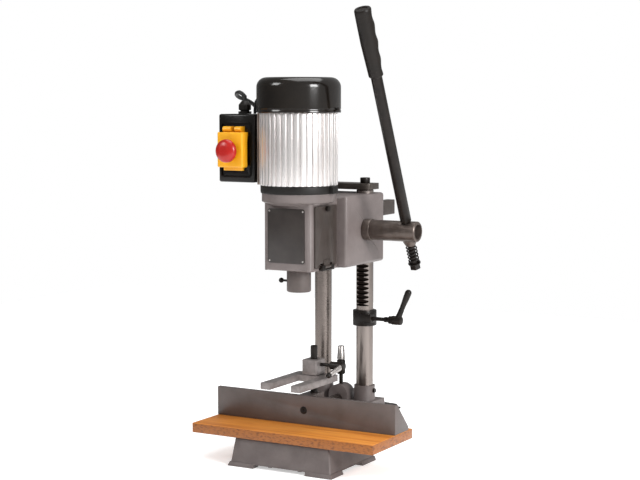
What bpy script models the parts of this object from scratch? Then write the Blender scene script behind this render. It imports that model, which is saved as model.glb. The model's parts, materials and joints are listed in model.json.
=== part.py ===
# Bench mortiser: twin-column hollow-chisel mortising machine on a wooden table.
# Metres, +X right along the fence, +Y to the back, +Z up, the bench top at Z 0.
# Y 0 is the table's back edge and X 0 the middle of the machine.
import math

import bmesh
import bpy
import numpy as np
from mathutils import Matrix, Vector

# Shared values
GAP = 0.0003
OVER = 0.002
ROUND_SIDES = 24
SMALL_SIDES = 12
MOTOR_SIDES = 36
HEAD_SIDES = 32
SMOOTH_DEG = 35

# Table
TABLE_WIDTH = 0.350
TABLE_DEPTH = 0.145
TABLE_THICK = 0.017
TABLE_EDGE = 0.002
TABLE_SCREW_X = 0.075
TABLE_SCREW_R = 0.0024
TABLE_SCREW_HEAD_R = 0.0048
TABLE_SCREW_HEAD_H = 0.003
TABLE_SCREW_BITE = 0.010

# Base casting
BASE_HEIGHT = 0.048
BASE_TOP_HALF = 0.091
BASE_FOOT_HALF = 0.098
BASE_TOP_INSET = 0.006
BASE_FOOT_OUT = 0.001
BASE_BACK_Y = 0.010
BASE_WALL = 0.008
FOOT_FLANGE_H = 0.007
FOOT_FLANGE_OUT = 0.003
ARCH_HEIGHT = 0.006
ARCH_HALF = 0.050
SIDE_ARCH_HALF = 0.034
RIB_THICK = 0.007
PEDESTAL_HALF_TOP = 0.064
PEDESTAL_HALF_FOOT = 0.068
PEDESTAL_BACK_TOP = 0.112
PEDESTAL_BACK_FOOT = 0.118
PEDESTAL_HEIGHT = 0.088
SOCKET_R = 0.0185
SOCKET_TOP = 0.115
SOCKET_FLOOR = 0.020
BAR_BOSS_R = 0.019
BAR_BOSS_Z = 0.096
BAR_BOSS_FRONT = 0.056
BAR_BOSS_BACK = 0.084

# Columns and tie plate
COLUMN_X = 0.042
COLUMN_Y = 0.078
COLUMN_R = 0.015
COLUMN_TOP = 0.462
COLUMN_CHAMFER = 0.0015
PLATE_HALF = 0.056
PLATE_HALF_DEPTH = 0.020
PLATE_THICK = 0.0105
PLATE_CORNER = 0.006
PLATE_BOLT_R = 0.005
PLATE_BOLT_HEAD_R = 0.0087
PLATE_BOLT_HEAD_H = 0.0095
PLATE_BOLT_DEEP = 0.016
HEX_KEY_R = 0.0045
HEX_KEY_DEEP = 0.005
SET_SCREW_R = 0.004
SET_SCREW_Z = 0.106
SET_SCREW_PROUD = 0.003

# Rack and pinion, involute teeth of one module
MODULE = 0.0025
PINION_TEETH = 20
PRESSURE_DEG = 20
BACKLASH = 0.0005
RACK_PITCH_R = 0.0112
RACK_BOTTOM = 0.256
RACK_TEETH = 23
DEDENDUM_SHARE = 1.08
FLANK_POINTS = 4
PINION_X = 0.042
PINION_HALF = 0.009
PINION_Z = 0.3945
SHAFT_R = 0.0105
SHAFT_INNER_X = 0.024
SHAFT_OUTER_X = 0.130

# Head casting
SPINDLE_Y = -0.080
HEAD_HALF = 0.044
HEAD_FRONT = -0.117
HEAD_STEP_Y = -0.027
HEAD_BOTTOM = 0.334
HEAD_TOP = 0.451
HOUSING_HALF = 0.0624
HOUSING_BACK = 0.112
HEAD_EDGE = 0.005
TOP_COLLAR_R = 0.062
TOP_COLLAR_Z = 0.4590
TOP_COLLAR_H = 0.010
TOP_CONE_R = 0.046
TOP_CONE_H = 0.0062
CHAMBER_WALL = 0.0075
CHAMBER_BACK = -0.040
CHAMBER_FLOOR = 0.342
CHAMBER_TOP = 0.447
DOOR_WAY_FRONT = -0.100
DOOR_WAY_BACK = -0.041
DOOR_WAY_LOW = 0.343
DOOR_WAY_HIGH = 0.434
WEB_POCKET_HALF = 0.017
WEB_POCKET_FRONT = -0.012
WEB_POCKET_BACK = 0.102
WEB_POCKET_TOP = 0.440
GEAR_ROOM = 0.0015

# Chisel socket
CHISEL_R = 0.0205
CHISEL_BORE_R = 0.0096
CHISEL_LOW = 0.296
CHISEL_SPIGOT_R = 0.0165
CLAMP_SCREW_R = 0.003
CLAMP_HEAD_R = 0.0048
CLAMP_HEAD_LONG = 0.009
CLAMP_Z = 0.314

# Motor
FLANGE_R = 0.0640
FLANGE_H = 0.0130
MOTOR_R = 0.0650
MOTOR_H = 0.1235
MOTOR_BORE_R = 0.044
FIN_COUNT = 48
FIN_DEEP = 0.0022
FIN_LAND_SHARE = 0.55
PAD_FRONT = -0.100
PAD_BACK = -0.072
PAD_LOW = 0.496
PAD_HIGH = 0.580
SHIELD_H = 0.009
CAP_R = 0.0696
CAP_H = 0.0545
CAP_ROUND = 0.014
CAP_WALL = 0.004
CAP_SCREW_R = 0.0018
CAP_SCREW_HEAD_R = 0.0034
CAP_SCREW_HEAD_H = 0.0025
BEARING_R = 0.0110
BEARING_ROOM = 0.0006
ROTOR_R = 0.040
ROTOR_LOW = 0.488
ROTOR_HIGH = 0.580
SPINDLE_R = 0.0080
SPINDLE_LOW = 0.418
SPINDLE_HIGH = 0.632
FAN_R = 0.052
FAN_HUB_R = 0.014
FAN_LOW = 0.610
FAN_H = 0.018
FAN_BLADES = 8
FAN_BLADE_THICK = 0.0016

# Chuck
CHUCK_LOW = 0.3640
CHUCK_NOSE_H = 0.016
CHUCK_BODY_R = 0.0170
CHUCK_RING_R = 0.0185
CHUCK_RING_LOW = 0.384
CHUCK_RING_H = 0.012
CHUCK_HIGH = 0.426
CHUCK_NOSE_R = 0.0100
CHUCK_MOUTH_R = 0.0070
CHUCK_BORE_DEEP = 0.030
JAW_R = 0.0024
JAW_OUT_R = 0.0045
JAW_TURN = 0.2
JAW_LOW = 0.3620

# Chuck access door
DOOR_FRONT = -0.1056
DOOR_BACK = -0.033
DOOR_LOW = 0.3400
DOOR_HIGH = 0.442
DOOR_THICK = 0.0025
DOOR_CORNER = 0.003
DOOR_PIN_R = 0.0015
DOOR_KNUCKLE_R = 0.0030
DOOR_KNUCKLE_HALF = 0.010
HINGE_BLOCK_H = 0.012
HINGE_BLOCK_THICK = 0.0035
DOOR_KNOB_R = 0.0045
DOOR_KNOB_LONG = 0.006
DOOR_KNOB_DOWN = 0.005
DOOR_SCREW_R = 0.0018

# Rear bracket
LUG_INNER_X = 0.045
LUG_OUTER_X = 0.0615
LUG_LOW = 0.414
LUG_HIGH = 0.440
LUG_PIN_R = 0.0014
LUG_PIN_Y = 0.119
LUG_PIN_LOW = 0.405
LUG_PIN_HIGH = 0.446

# Feed hub and lever
HUB_R = 0.0177
HUB_INNER_X = 0.0772
HUB_OUTER_X = 0.1630
HUB_BORE_R = 0.0130
COLLAR_R = 0.0190
LEVER_X = 0.1440
LEVER_LEAN_DEG = 24.5
LEVER_SHANK_R = 0.0060
LEVER_ROD_R = 0.0085
LEVER_SHANK_LOW = -0.072
GRIP_LOW = 0.287
GRIP_LONG = 0.117
ROD_IN_GRIP = 0.058
GRIP_LOW_R = 0.0115
GRIP_TOP_R = 0.0140
GRIP_WAVE = 0.0013
GRIP_WAVES = 4
BUSHING_TOP_R = 0.0120
BUSHING_LOW_R = 0.0090
BUSHING_H = 0.008
WASHER_R = 0.0110
WASHER_H = 0.0018
NUT_R = 0.0098
NUT_H = 0.0090
SPRING_R = 0.0085
SPRING_WIRE = 0.0011
SPRING_CURLS = 5

# Depth stop collar and its lever
STOP_R = 0.0210
STOP_LOW = 0.222
STOP_H = 0.027
STOP_SCREW_Z = 0.2370
STOP_SCREW_Y = 0.060
STOP_SCREW_R = 0.0035
STOP_HUB_X = 0.080
STOP_HUB_LONG = 0.028
STOP_HUB_R = 0.0075
STOP_RING_LONG = 0.003
STOP_ARM_R = 0.0040
STOP_ARM_LEAN_DEG = 31
STOP_ARM_LONG = 0.070
STOP_TIP_R = 0.0062
STOP_TIP_LONG = 0.022
STOP_BLOCK_OUT = 0.0250

# Fence
FENCE_FACE = -0.065
FENCE_HEIGHT = 0.050
FENCE_THICK = 0.008
FENCE_LIFT = 0.0003
GUSSET_DEEP = 0.050
GUSSET_THICK = 0.008
FENCE_FOOT_H = 0.006
FENCE_BOLT_Z = 0.090
FENCE_BOLT_R = 0.0040
FENCE_BOLT_HEAD_R = 0.0068
FENCE_BOLT_HEAD_H = 0.0040
FENCE_BAR_R = 0.0080
FENCE_BAR_BACK = 0.1300
LOCK_SCREW_R = 0.0035
LOCK_X = 0.0
LOCK_Y = 0.068
LOCK_HUB_LOW = 0.132
LOCK_HUB_H = 0.026
LOCK_HUB_R = 0.0075
LOCK_ARM_R = 0.0035
LOCK_ARM_TOP = 0.181
LOCK_ARM_LEAN_DEG = 12

# Hold-down
POST_X = 0.0
POST_Y = -0.029
POST_R = 0.0063
POST_TOP = 0.197
POST_PAD_HALF = 0.013
POST_PAD_H = 0.012
FORK_IN = 0.0205
FORK_OUT = 0.0385
FORK_FRONT = -0.142
FORK_BACK = -0.014
FORK_BAR_FRONT = -0.034
FORK_LOW = 0.138
FORK_THICK = 0.009
FORK_EDGE = 0.001
BLOCK_HALF = 0.014
BLOCK_FRONT = -0.046
BLOCK_HIGH = 0.174
HOLD_SCREW_Z = 0.1650
HOLD_SCREW_R = 0.0030
HOLD_HUB_X = 0.032
HOLD_HUB_LONG = 0.028
HOLD_HUB_R = 0.0070
HOLD_ARM_R = 0.0032
HOLD_ARM_LONG = 0.040
HOLD_ARM_DEG = 125
HOLD_TIP_R = 0.0055
HOLD_TIP_LONG = 0.014

# Switch
BOX_LEFT = -0.126
BOX_RIGHT = -0.068
BOX_FRONT = -0.112
BOX_BACK = -0.067
BOX_LOW = 0.479
BOX_HIGH = 0.594
BOX_EDGE = 0.003
BEZEL_LEFT = -0.1260
BEZEL_RIGHT = -0.0770
BEZEL_LOW = 0.500
BEZEL_HIGH = 0.574
BEZEL_THICK = 0.005
BEZEL_ROOM = 0.001
FLAP_LOW = 0.505
FLAP_HIGH = 0.564
FLAP_FRONT = -0.129
FLAP_WALL = 0.002
FLAP_PIN_Z = 0.5690
FLAP_PIN_R = 0.0015
FLAP_LUG_R = 0.0035
FLAP_LUG_LONG = 0.005
FLAP_LUG_IN = 0.008
KNOB_X = -0.1015
KNOB_Z = 0.5330
KNOB_R = 0.0167
KNOB_NECK_R = 0.0070
KNOB_STEM_R = 0.0040
KNOB_TRAVEL = 0.003
KNOB_THICK = 0.012
KNOB_FRONT = -0.1560
START_Z = 0.5150
START_HALF_X = 0.009
START_HALF_Z = 0.0045
START_PROUD = 0.003
START_TRAVEL = 0.002

# Gland, leads and plug
GLAND_X = -0.102
GLAND_Y = -0.0865
GLAND_R = 0.0090
GLAND_NUT_H = 0.010
GLAND_H = 0.022
CORD_R = 0.0035
CORD_LENGTH = 1.80
LEAD_R = 0.0025
LEAD_X = -0.086
LEAD_Z = 0.620
COIL_X = -0.118
COIL_Y = 0.218
COIL_OUT_R = 0.046
COIL_LOOPS_PER_LAYER = 2
COIL_STEP = 0.0088
LAYER_STEP = 0.0078
LOOP_POINTS = 24
PLUG_LONG = 0.050
PLUG_WIDE = 0.046
PLUG_THICK = 0.024
PLUG_EDGE = 0.005
PIN_LONG = 0.018
PIN_WIDE = 0.0064
PIN_THICK = 0.004
PIN_SPREAD = 0.011

# Sizes that follow from the sizes above
TABLE_TOP = BASE_HEIGHT + TABLE_THICK
FENCE_HALF = TABLE_WIDTH / 2
FENCE_LOW = TABLE_TOP + FENCE_LIFT
FENCE_TOP = FENCE_LOW + FENCE_HEIGHT
RACK_PITCH_Y = COLUMN_Y - RACK_PITCH_R
PITCH_R = MODULE * PINION_TEETH / 2
PINION_Y = RACK_PITCH_Y - PITCH_R
FLANGE_LOW = TOP_COLLAR_Z + GAP
MOTOR_LOW = FLANGE_LOW + FLANGE_H + GAP
SHIELD_LOW = MOTOR_LOW + MOTOR_H + GAP
CAP_LOW = SHIELD_LOW + GAP
FRONT_REACH = -KNOB_FRONT
STOP_TOP = STOP_LOW + STOP_H
LEVER_ROD_TOP = GRIP_LOW + ROD_IN_GRIP
GRIP_HIGH = GRIP_LOW + GRIP_LONG


# Start from an empty scene with one collection for the parts and one for the cutters.
for old in list(bpy.data.objects):
    bpy.data.objects.remove(old, do_unlink=True)
PARTS = bpy.data.collections.new("bench_mortiser")
CUTTERS = bpy.data.collections.new("cutters")
for group in (PARTS, CUTTERS):
    bpy.context.scene.collection.children.link(group)

MATERIALS = {
    "grey_paint": ((0.30, 0.28, 0.27), 0.45, 0.0),
    "dark_paint": ((0.10, 0.09, 0.09), 0.5, 0.0),
    "black_paint": ((0.02, 0.02, 0.02), 0.3, 0.0),
    "polished_steel": ((0.6, 0.6, 0.6), 0.2, 1.0),
    "dark_steel": ((0.08, 0.07, 0.07), 0.4, 0.8),
    "aluminium": ((0.75, 0.75, 0.76), 0.35, 1.0),
    "black_plastic": ((0.02, 0.02, 0.02), 0.5, 0.0),
    "yellow_plastic": ((0.92, 0.46, 0.04), 0.4, 0.0),
    "red_plastic": ((0.7, 0.03, 0.02), 0.35, 0.0),
    "green_plastic": ((0.03, 0.35, 0.1), 0.4, 0.0),
    "oiled_wood": ((0.6, 0.26, 0.06), 0.5, 0.0),
    "bronze": ((0.5, 0.33, 0.12), 0.4, 1.0),
    "cord_rubber": ((0.02, 0.02, 0.02), 0.7, 0.0),
}


def material(name):
    found = bpy.data.materials.get(name)
    if found is None:
        colour, rough, metal = MATERIALS[name]
        found = bpy.data.materials.new(name)
        found.use_nodes = True
        shader = found.node_tree.nodes["Principled BSDF"]
        shader.inputs["Base Color"].default_value = (*colour, 1)
        shader.inputs["Roughness"].default_value = rough
        shader.inputs["Metallic"].default_value = metal
        found.diffuse_color = (*colour, 1)
    return found


def finish_mesh(name, bm, look=None):
    """A new object from bm: a part where look names its material, else a cutter."""
    bmesh.ops.recalc_face_normals(bm, faces=bm.faces)
    mesh = bpy.data.meshes.new(name)
    bm.to_mesh(mesh)
    bm.free()
    return place(bpy.data.objects.new(name, mesh), look)


def place(thing, look=None):
    if look:
        PARTS.objects.link(thing)
        thing.data.materials.clear()
        thing.data.materials.append(material(look))
        if thing.type == "MESH":
            thing.data.shade_smooth()
            thing.data.set_sharp_from_angle(angle=math.radians(SMOOTH_DEG))
    else:
        CUTTERS.objects.link(thing)
        thing.hide_render = True
        thing.display_type = "WIRE"
    return thing


def box(name, low, high, look=None, bevel=0, segments=1):
    """An upright block between two corners, its edges rounded by bevel."""
    bm = bmesh.new()
    bmesh.ops.create_cube(bm, size=1)
    low, high = Vector(low), Vector(high)
    for v in bm.verts:
        v.co = (low + high) / 2 + Vector(a * b for a, b in zip(v.co, high - low))
    thing = finish_mesh(name, bm, look)
    if bevel:
        round_edges(thing, bevel, segments)
    return thing


def round_edges(thing, width, segments=1, angle=SMOOTH_DEG):
    mod = thing.modifiers.new("edges", "BEVEL")
    mod.width = width
    mod.segments = segments
    mod.limit_method = "ANGLE"
    mod.angle_limit = math.radians(angle)
    mod.use_clamp_overlap = True
    return thing


def taper(name, low_rect, high_rect, low, high, look=None):
    """A block whose rectangle (x0, x1, y0, y1) changes from low to high."""
    bm = bmesh.new()
    bmesh.ops.create_cube(bm, size=1)
    for v in bm.verts:
        x0, x1, y0, y1 = high_rect if v.co.z > 0 else low_rect
        v.co = Vector((x1 if v.co.x > 0 else x0, y1 if v.co.y > 0 else y0, high if v.co.z > 0 else low))
    return finish_mesh(name, bm, look)


def rod(name, start, end, radius, look=None, sides=ROUND_SIDES, end_radius=None):
    """A round bar, or a cone, from start to end."""
    start, end = Vector(start), Vector(end)
    bm = bmesh.new()
    bmesh.ops.create_cone(
        bm,
        cap_ends=True,
        segments=sides,
        radius1=radius,
        radius2=radius if end_radius is None else end_radius,
        depth=(end - start).length,
    )
    turn = Vector((0, 0, 1)).rotation_difference(end - start).to_matrix().to_4x4()
    bmesh.ops.transform(bm, matrix=Matrix.Translation((start + end) / 2) @ turn, verts=bm.verts)
    return finish_mesh(name, bm, look)


def turned(name, profile, centre, look=None, sides=ROUND_SIDES, axis=(0, 0, 1)):
    """A turned body: profile is (radius, height) down its outside, top first, then
    back up its bore where it has one. It is swept round axis through centre."""
    bm = bmesh.new()
    verts = [bm.verts.new((r, 0, h)) for r, h in profile]
    hollow = min(r for r, _ in profile) > 0
    pairs = list(zip(verts, verts[1:])) + ([(verts[-1], verts[0])] if hollow else [])
    for pair in pairs:
        bm.edges.new(pair)
    mesh = bpy.data.meshes.new(name)
    bm.to_mesh(mesh)
    bm.free()
    thing = bpy.data.objects.new(name, mesh)
    mod = thing.modifiers.new("turn", "SCREW")
    mod.steps = sides
    mod.render_steps = sides
    mod.use_merge_vertices = True
    mod.merge_threshold = GAP / ROUND_SIDES
    mod.use_smooth_shade = True
    turn = Vector((0, 0, 1)).rotation_difference(Vector(axis)).to_matrix().to_4x4()
    thing.matrix_world = Matrix.Translation(centre) @ turn
    return settle(thing, look)


def settle(thing, look=None):
    """The same object as a plain mesh in place, with its ends welded."""
    temporary = thing.name not in {o.name for o in PARTS.objects}
    if not thing.users_collection:
        CUTTERS.objects.link(thing)
    bpy.context.view_layer.update()
    graph = bpy.context.evaluated_depsgraph_get()
    mesh = bpy.data.meshes.new_from_object(thing.evaluated_get(graph))
    mesh.transform(thing.matrix_world)
    name = thing.name
    if temporary:
        bpy.data.objects.remove(thing, do_unlink=True)
    bm = bmesh.new()
    bm.from_mesh(mesh)
    bmesh.ops.remove_doubles(bm, verts=bm.verts, dist=GAP / ROUND_SIDES)
    bpy.data.meshes.remove(mesh)
    return finish_mesh(name, bm, look)


def extruded(name, outline, depth, centre, look=None, plane="XY"):
    """A flat outline of (a, b) points made depth thick about centre, as a 2D curve.
    plane XY extrudes along Z, YZ along X and XZ along Y."""
    curve = bpy.data.curves.new(name, "CURVE")
    curve.dimensions = "2D"
    curve.fill_mode = "BOTH"
    curve.extrude = depth / 2
    spline = curve.splines.new("POLY")
    spline.points.add(len(outline) - 1)
    for point, (a, b) in zip(spline.points, outline):
        point.co = (a, b, 0, 1)
    spline.use_cyclic_u = True
    thing = bpy.data.objects.new(name, curve)
    columns = {
        "XY": ((1, 0, 0), (0, 1, 0), (0, 0, 1)),
        "YZ": ((0, 1, 0), (0, 0, 1), (1, 0, 0)),
        "XZ": ((1, 0, 0), (0, 0, 1), (0, -1, 0)),
    }[plane]
    turn = Matrix(columns).transposed().to_4x4()
    thing.matrix_world = Matrix.Translation(centre) @ turn
    return settle(thing, look)


def tube(name, points, radius, look=None, resolution=2):
    """A round tube along points, with closed ends."""
    curve = bpy.data.curves.new(name, "CURVE")
    curve.dimensions = "3D"
    curve.bevel_depth = radius
    curve.bevel_resolution = resolution
    curve.use_fill_caps = True
    spline = curve.splines.new("POLY")
    spline.points.add(len(points) - 1)
    for point, co in zip(spline.points, points):
        point.co = (*co, 1)
    thing = bpy.data.objects.new(name, curve)
    return settle(thing, look)


def change(target, other, operation):
    mod = target.modifiers.new(operation.lower(), "BOOLEAN")
    mod.operation = operation
    mod.solver = "EXACT"
    mod.object = other
    return target


def cut(target, *others):
    for other in others:
        change(target, other, "DIFFERENCE")
    return target


def join(target, *others):
    for other in others:
        change(target, other, "UNION")
    return target


def smooth_route(points, spacing):
    """Points spaced evenly along a smooth curve through the route's own points."""
    route = [Vector(p) for p in points]
    ends = [2 * route[0] - route[1], *route, 2 * route[-1] - route[-2]]
    fine = []
    steps = ROUND_SIDES
    for i in range(1, len(ends) - 2):
        a, b, c, d = ends[i - 1 : i + 3]
        for k in range(steps):
            t = k / steps
            fine.append(
                ((2 * b) + (c - a) * t + (2 * a - 5 * b + 4 * c - d) * t**2 + (3 * b - a - 3 * c + d) * t**3) / 2
            )
    fine.append(route[-1])
    runs = [0.0]
    for p, q in zip(fine, fine[1:]):
        runs.append(runs[-1] + (q - p).length)
    count = max(2, round(runs[-1] / spacing))
    out = []
    for k in range(count + 1):
        want = runs[-1] * k / count
        i = min(int(np.searchsorted(runs, want)), len(fine) - 1)
        i = max(i, 1)
        span = runs[i] - runs[i - 1]
        share = 0 if span == 0 else (want - runs[i - 1]) / span
        out.append(fine[i - 1].lerp(fine[i], share))
    return out, runs[-1]


def rounded_rect(x0, x1, y0, y1, corner, points=4):
    out = []
    for cx, cy, start in (
        (x1 - corner, y0 + corner, -90),
        (x1 - corner, y1 - corner, 0),
        (x0 + corner, y1 - corner, 90),
        (x0 + corner, y0 + corner, 180),
    ):
        for k in range(points + 1):
            a = math.radians(start + 90 * k / points)
            out.append((cx + corner * math.cos(a), cy + corner * math.sin(a)))
    return out


# Base casting: a tapered front box under the table on a flared foot, and behind it the
# pedestal with the two column sockets and the boss that the fence's bar slides in.
front_low = (-BASE_FOOT_HALF, BASE_FOOT_HALF, -TABLE_DEPTH - BASE_FOOT_OUT, BASE_BACK_Y)
front_high = (-BASE_TOP_HALF, BASE_TOP_HALF, -TABLE_DEPTH + BASE_TOP_INSET, BASE_BACK_Y)
base = taper("base_casting", front_low, front_high, 0, BASE_HEIGHT, "grey_paint")
round_edges(base, BASE_WALL / 4, 1)
join(
    base,
    taper(
        "base_flange",
        (front_low[0] - FOOT_FLANGE_OUT, front_low[1] + FOOT_FLANGE_OUT, front_low[2] - FOOT_FLANGE_OUT, BASE_BACK_Y),
        front_low,
        0,
        FOOT_FLANGE_H,
    ),
    taper(
        "base_pedestal",
        (-PEDESTAL_HALF_FOOT, PEDESTAL_HALF_FOOT, 0, PEDESTAL_BACK_FOOT),
        (-PEDESTAL_HALF_TOP, PEDESTAL_HALF_TOP, GAP, PEDESTAL_BACK_TOP),
        0,
        PEDESTAL_HEIGHT,
    ),
)
# Hollow underneath, in bays between ribs, with arches between the feet.
bay = (2 * BASE_TOP_HALF - 2 * BASE_WALL - 2 * RIB_THICK) / 3
for number in range(3):
    left = -BASE_TOP_HALF + BASE_WALL + number * (bay + RIB_THICK)
    cut(
        base,
        box(
            f"bay_{number}",
            (left, -TABLE_DEPTH + BASE_TOP_INSET + BASE_WALL, -OVER),
            (left + bay, -BASE_WALL, BASE_HEIGHT - BASE_WALL),
        ),
    )
cut(
    base,
    box(
        "pedestal_bay",
        (-COLUMN_X + SOCKET_R + RIB_THICK, BASE_WALL, -OVER),
        (COLUMN_X - SOCKET_R - RIB_THICK, PEDESTAL_BACK_TOP - BASE_WALL, BAR_BOSS_Z - BAR_BOSS_R - BASE_WALL),
    ),
    box(
        "front_arch",
        (-ARCH_HALF, -TABLE_DEPTH - BASE_FOOT_OUT - FOOT_FLANGE_OUT - OVER, -OVER),
        (ARCH_HALF, -TABLE_DEPTH + BASE_TOP_INSET + BASE_WALL + OVER, ARCH_HEIGHT),
    ),
    box(
        "side_arch",
        (-BASE_FOOT_HALF - FOOT_FLANGE_OUT - OVER, -TABLE_DEPTH / 2 - SIDE_ARCH_HALF, -OVER),
        (BASE_FOOT_HALF + FOOT_FLANGE_OUT + OVER, -TABLE_DEPTH / 2 + SIDE_ARCH_HALF, ARCH_HEIGHT),
    ),
)
for side in (-1, 1):
    join(
        base,
        rod(
            "socket_boss",
            (side * COLUMN_X, COLUMN_Y, PEDESTAL_HEIGHT - BASE_WALL),
            (side * COLUMN_X, COLUMN_Y, SOCKET_TOP),
            SOCKET_R,
        ),
    )
boss_outline = [(BAR_BOSS_R, PEDESTAL_HEIGHT - BASE_WALL)]
for number in range(SMALL_SIDES + 1):
    turn = math.pi * number / SMALL_SIDES
    boss_outline.append((BAR_BOSS_R * math.cos(turn), BAR_BOSS_Z + BAR_BOSS_R * math.sin(turn)))
boss_outline.append((-BAR_BOSS_R, PEDESTAL_HEIGHT - BASE_WALL))
join(
    base,
    extruded(
        "bar_boss",
        boss_outline,
        BAR_BOSS_BACK - BAR_BOSS_FRONT,
        (0, (BAR_BOSS_FRONT + BAR_BOSS_BACK) / 2, 0),
        plane="XZ",
    ),
)
for side in (-1, 1):
    cut(
        base,
        rod(
            "socket_bore",
            (side * COLUMN_X, COLUMN_Y, SOCKET_FLOOR),
            (side * COLUMN_X, COLUMN_Y, SOCKET_TOP + OVER),
            COLUMN_R + GAP,
        ),
        rod(
            "set_screw_hole",
            (side * (COLUMN_X + COLUMN_R / 2), COLUMN_Y, SET_SCREW_Z),
            (side * (COLUMN_X + SOCKET_R + OVER), COLUMN_Y, SET_SCREW_Z),
            SET_SCREW_R + GAP,
            sides=SMALL_SIDES,
        ),
    )
cut(
    base,
    rod(
        "bar_bore",
        (0, -OVER, FENCE_BOLT_Z),
        (0, PEDESTAL_BACK_FOOT + OVER, FENCE_BOLT_Z),
        FENCE_BAR_R + GAP,
        sides=ROUND_SIDES,
    ),
    rod(
        "lock_screw_bore",
        (LOCK_X, LOCK_Y, FENCE_BOLT_Z),
        (LOCK_X, LOCK_Y, BAR_BOSS_Z + BAR_BOSS_R + OVER),
        LOCK_SCREW_R + GAP,
        sides=SMALL_SIDES,
    ),
)

# Table board and the two screws that hold it from below.
table = box(
    "table_board",
    (-TABLE_WIDTH / 2, -TABLE_DEPTH, BASE_HEIGHT + GAP),
    (TABLE_WIDTH / 2, -GAP, TABLE_TOP),
    "oiled_wood",
    TABLE_EDGE,
    2,
)
for side, where in ((-1, "left"), (1, "right")):
    for screw_y in (-TABLE_DEPTH / 2,):
        spot = Vector((side * TABLE_SCREW_X, screw_y, 0))
        web_low = Vector((0, 0, BASE_HEIGHT - BASE_WALL))
        tip = Vector((0, 0, BASE_HEIGHT + TABLE_SCREW_BITE))
        cut(
            base,
            rod(
                "table_screw_hole",
                spot + web_low - Vector((0, 0, OVER)),
                spot + tip,
                TABLE_SCREW_R + GAP,
                sides=SMALL_SIDES,
            ),
        )
        cut(
            table,
            rod(
                "table_pilot",
                spot + web_low,
                spot + tip + Vector((0, 0, GAP)),
                TABLE_SCREW_R + GAP,
                sides=SMALL_SIDES,
            ),
        )
        turned(
            f"table_screw_{where}",
            [
                (0, tip.z),
                (TABLE_SCREW_R, tip.z - TABLE_SCREW_R),
                (TABLE_SCREW_R, web_low.z - GAP),
                (TABLE_SCREW_HEAD_R, web_low.z - GAP),
                (TABLE_SCREW_HEAD_R, web_low.z - TABLE_SCREW_HEAD_H),
                (0, web_low.z - TABLE_SCREW_HEAD_H),
            ],
            spot,
            "dark_steel",
            SMALL_SIDES,
        )


# Columns: the left one plain, the right one with the rack cut in its front.
def solid_column(name, side):
    low = SOCKET_FLOOR + GAP
    top = COLUMN_TOP - GAP
    body = turned(
        name,
        [(0, top), (COLUMN_R - COLUMN_CHAMFER, top), (COLUMN_R, top - COLUMN_CHAMFER), (COLUMN_R, low), (0, low)],
        (side * COLUMN_X, COLUMN_Y, 0),
        "polished_steel",
    )
    return cut(
        body,
        rod(
            "column_thread",
            (side * COLUMN_X, COLUMN_Y, top - PLATE_BOLT_DEEP - OVER),
            (side * COLUMN_X, COLUMN_Y, top + OVER),
            PLATE_BOLT_R + GAP,
            sides=SMALL_SIDES,
        ),
    )


solid_column("plain_column", -1)
rack = solid_column("rack_column", 1)
pitch = math.pi * MODULE
lean = math.tan(math.radians(PRESSURE_DEG))
crest_y = RACK_PITCH_Y - MODULE
root_y = RACK_PITCH_Y + DEDENDUM_SHARE * MODULE
front_y = COLUMN_Y - COLUMN_R - OVER
half_tooth = pitch / 4 - BACKLASH / 2
crest_half = half_tooth - MODULE * lean
root_half = half_tooth + DEDENDUM_SHARE * MODULE * lean
# A tooth of the rack stands at the pinion's height, half a pitch off one of its teeth.
first_tooth = PINION_Z - pitch * math.floor((PINION_Z - RACK_BOTTOM) / pitch)
teeth_z = [first_tooth + pitch * k for k in range(RACK_TEETH)]
rack_outline = [(front_y, teeth_z[0] - pitch / 2), (root_y, teeth_z[0] - pitch / 2)]
for z in teeth_z:
    rack_outline += [(root_y, z - root_half), (crest_y, z - crest_half), (crest_y, z + crest_half), (root_y, z + root_half)]
rack_outline += [(root_y, teeth_z[-1] + pitch / 2), (front_y, teeth_z[-1] + pitch / 2)]
rack_outline = [rack_outline[0]] + [
    p for q, p in zip(rack_outline, rack_outline[1:]) if math.dist(q, p) > GAP / ROUND_SIDES
]
cut(rack, extruded("rack_teeth", rack_outline, 2 * COLUMN_R + 2 * OVER, (COLUMN_X, 0, 0), plane="YZ"))

for side, where in ((-1, "left"), (1, "right")):
    rod(
        f"column_set_screw_{where}",
        (side * (COLUMN_X + COLUMN_R + GAP), COLUMN_Y, SET_SCREW_Z),
        (side * (COLUMN_X + SOCKET_R + SET_SCREW_PROUD), COLUMN_Y, SET_SCREW_Z),
        SET_SCREW_R,
        "dark_steel",
        SMALL_SIDES,
    )

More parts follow.
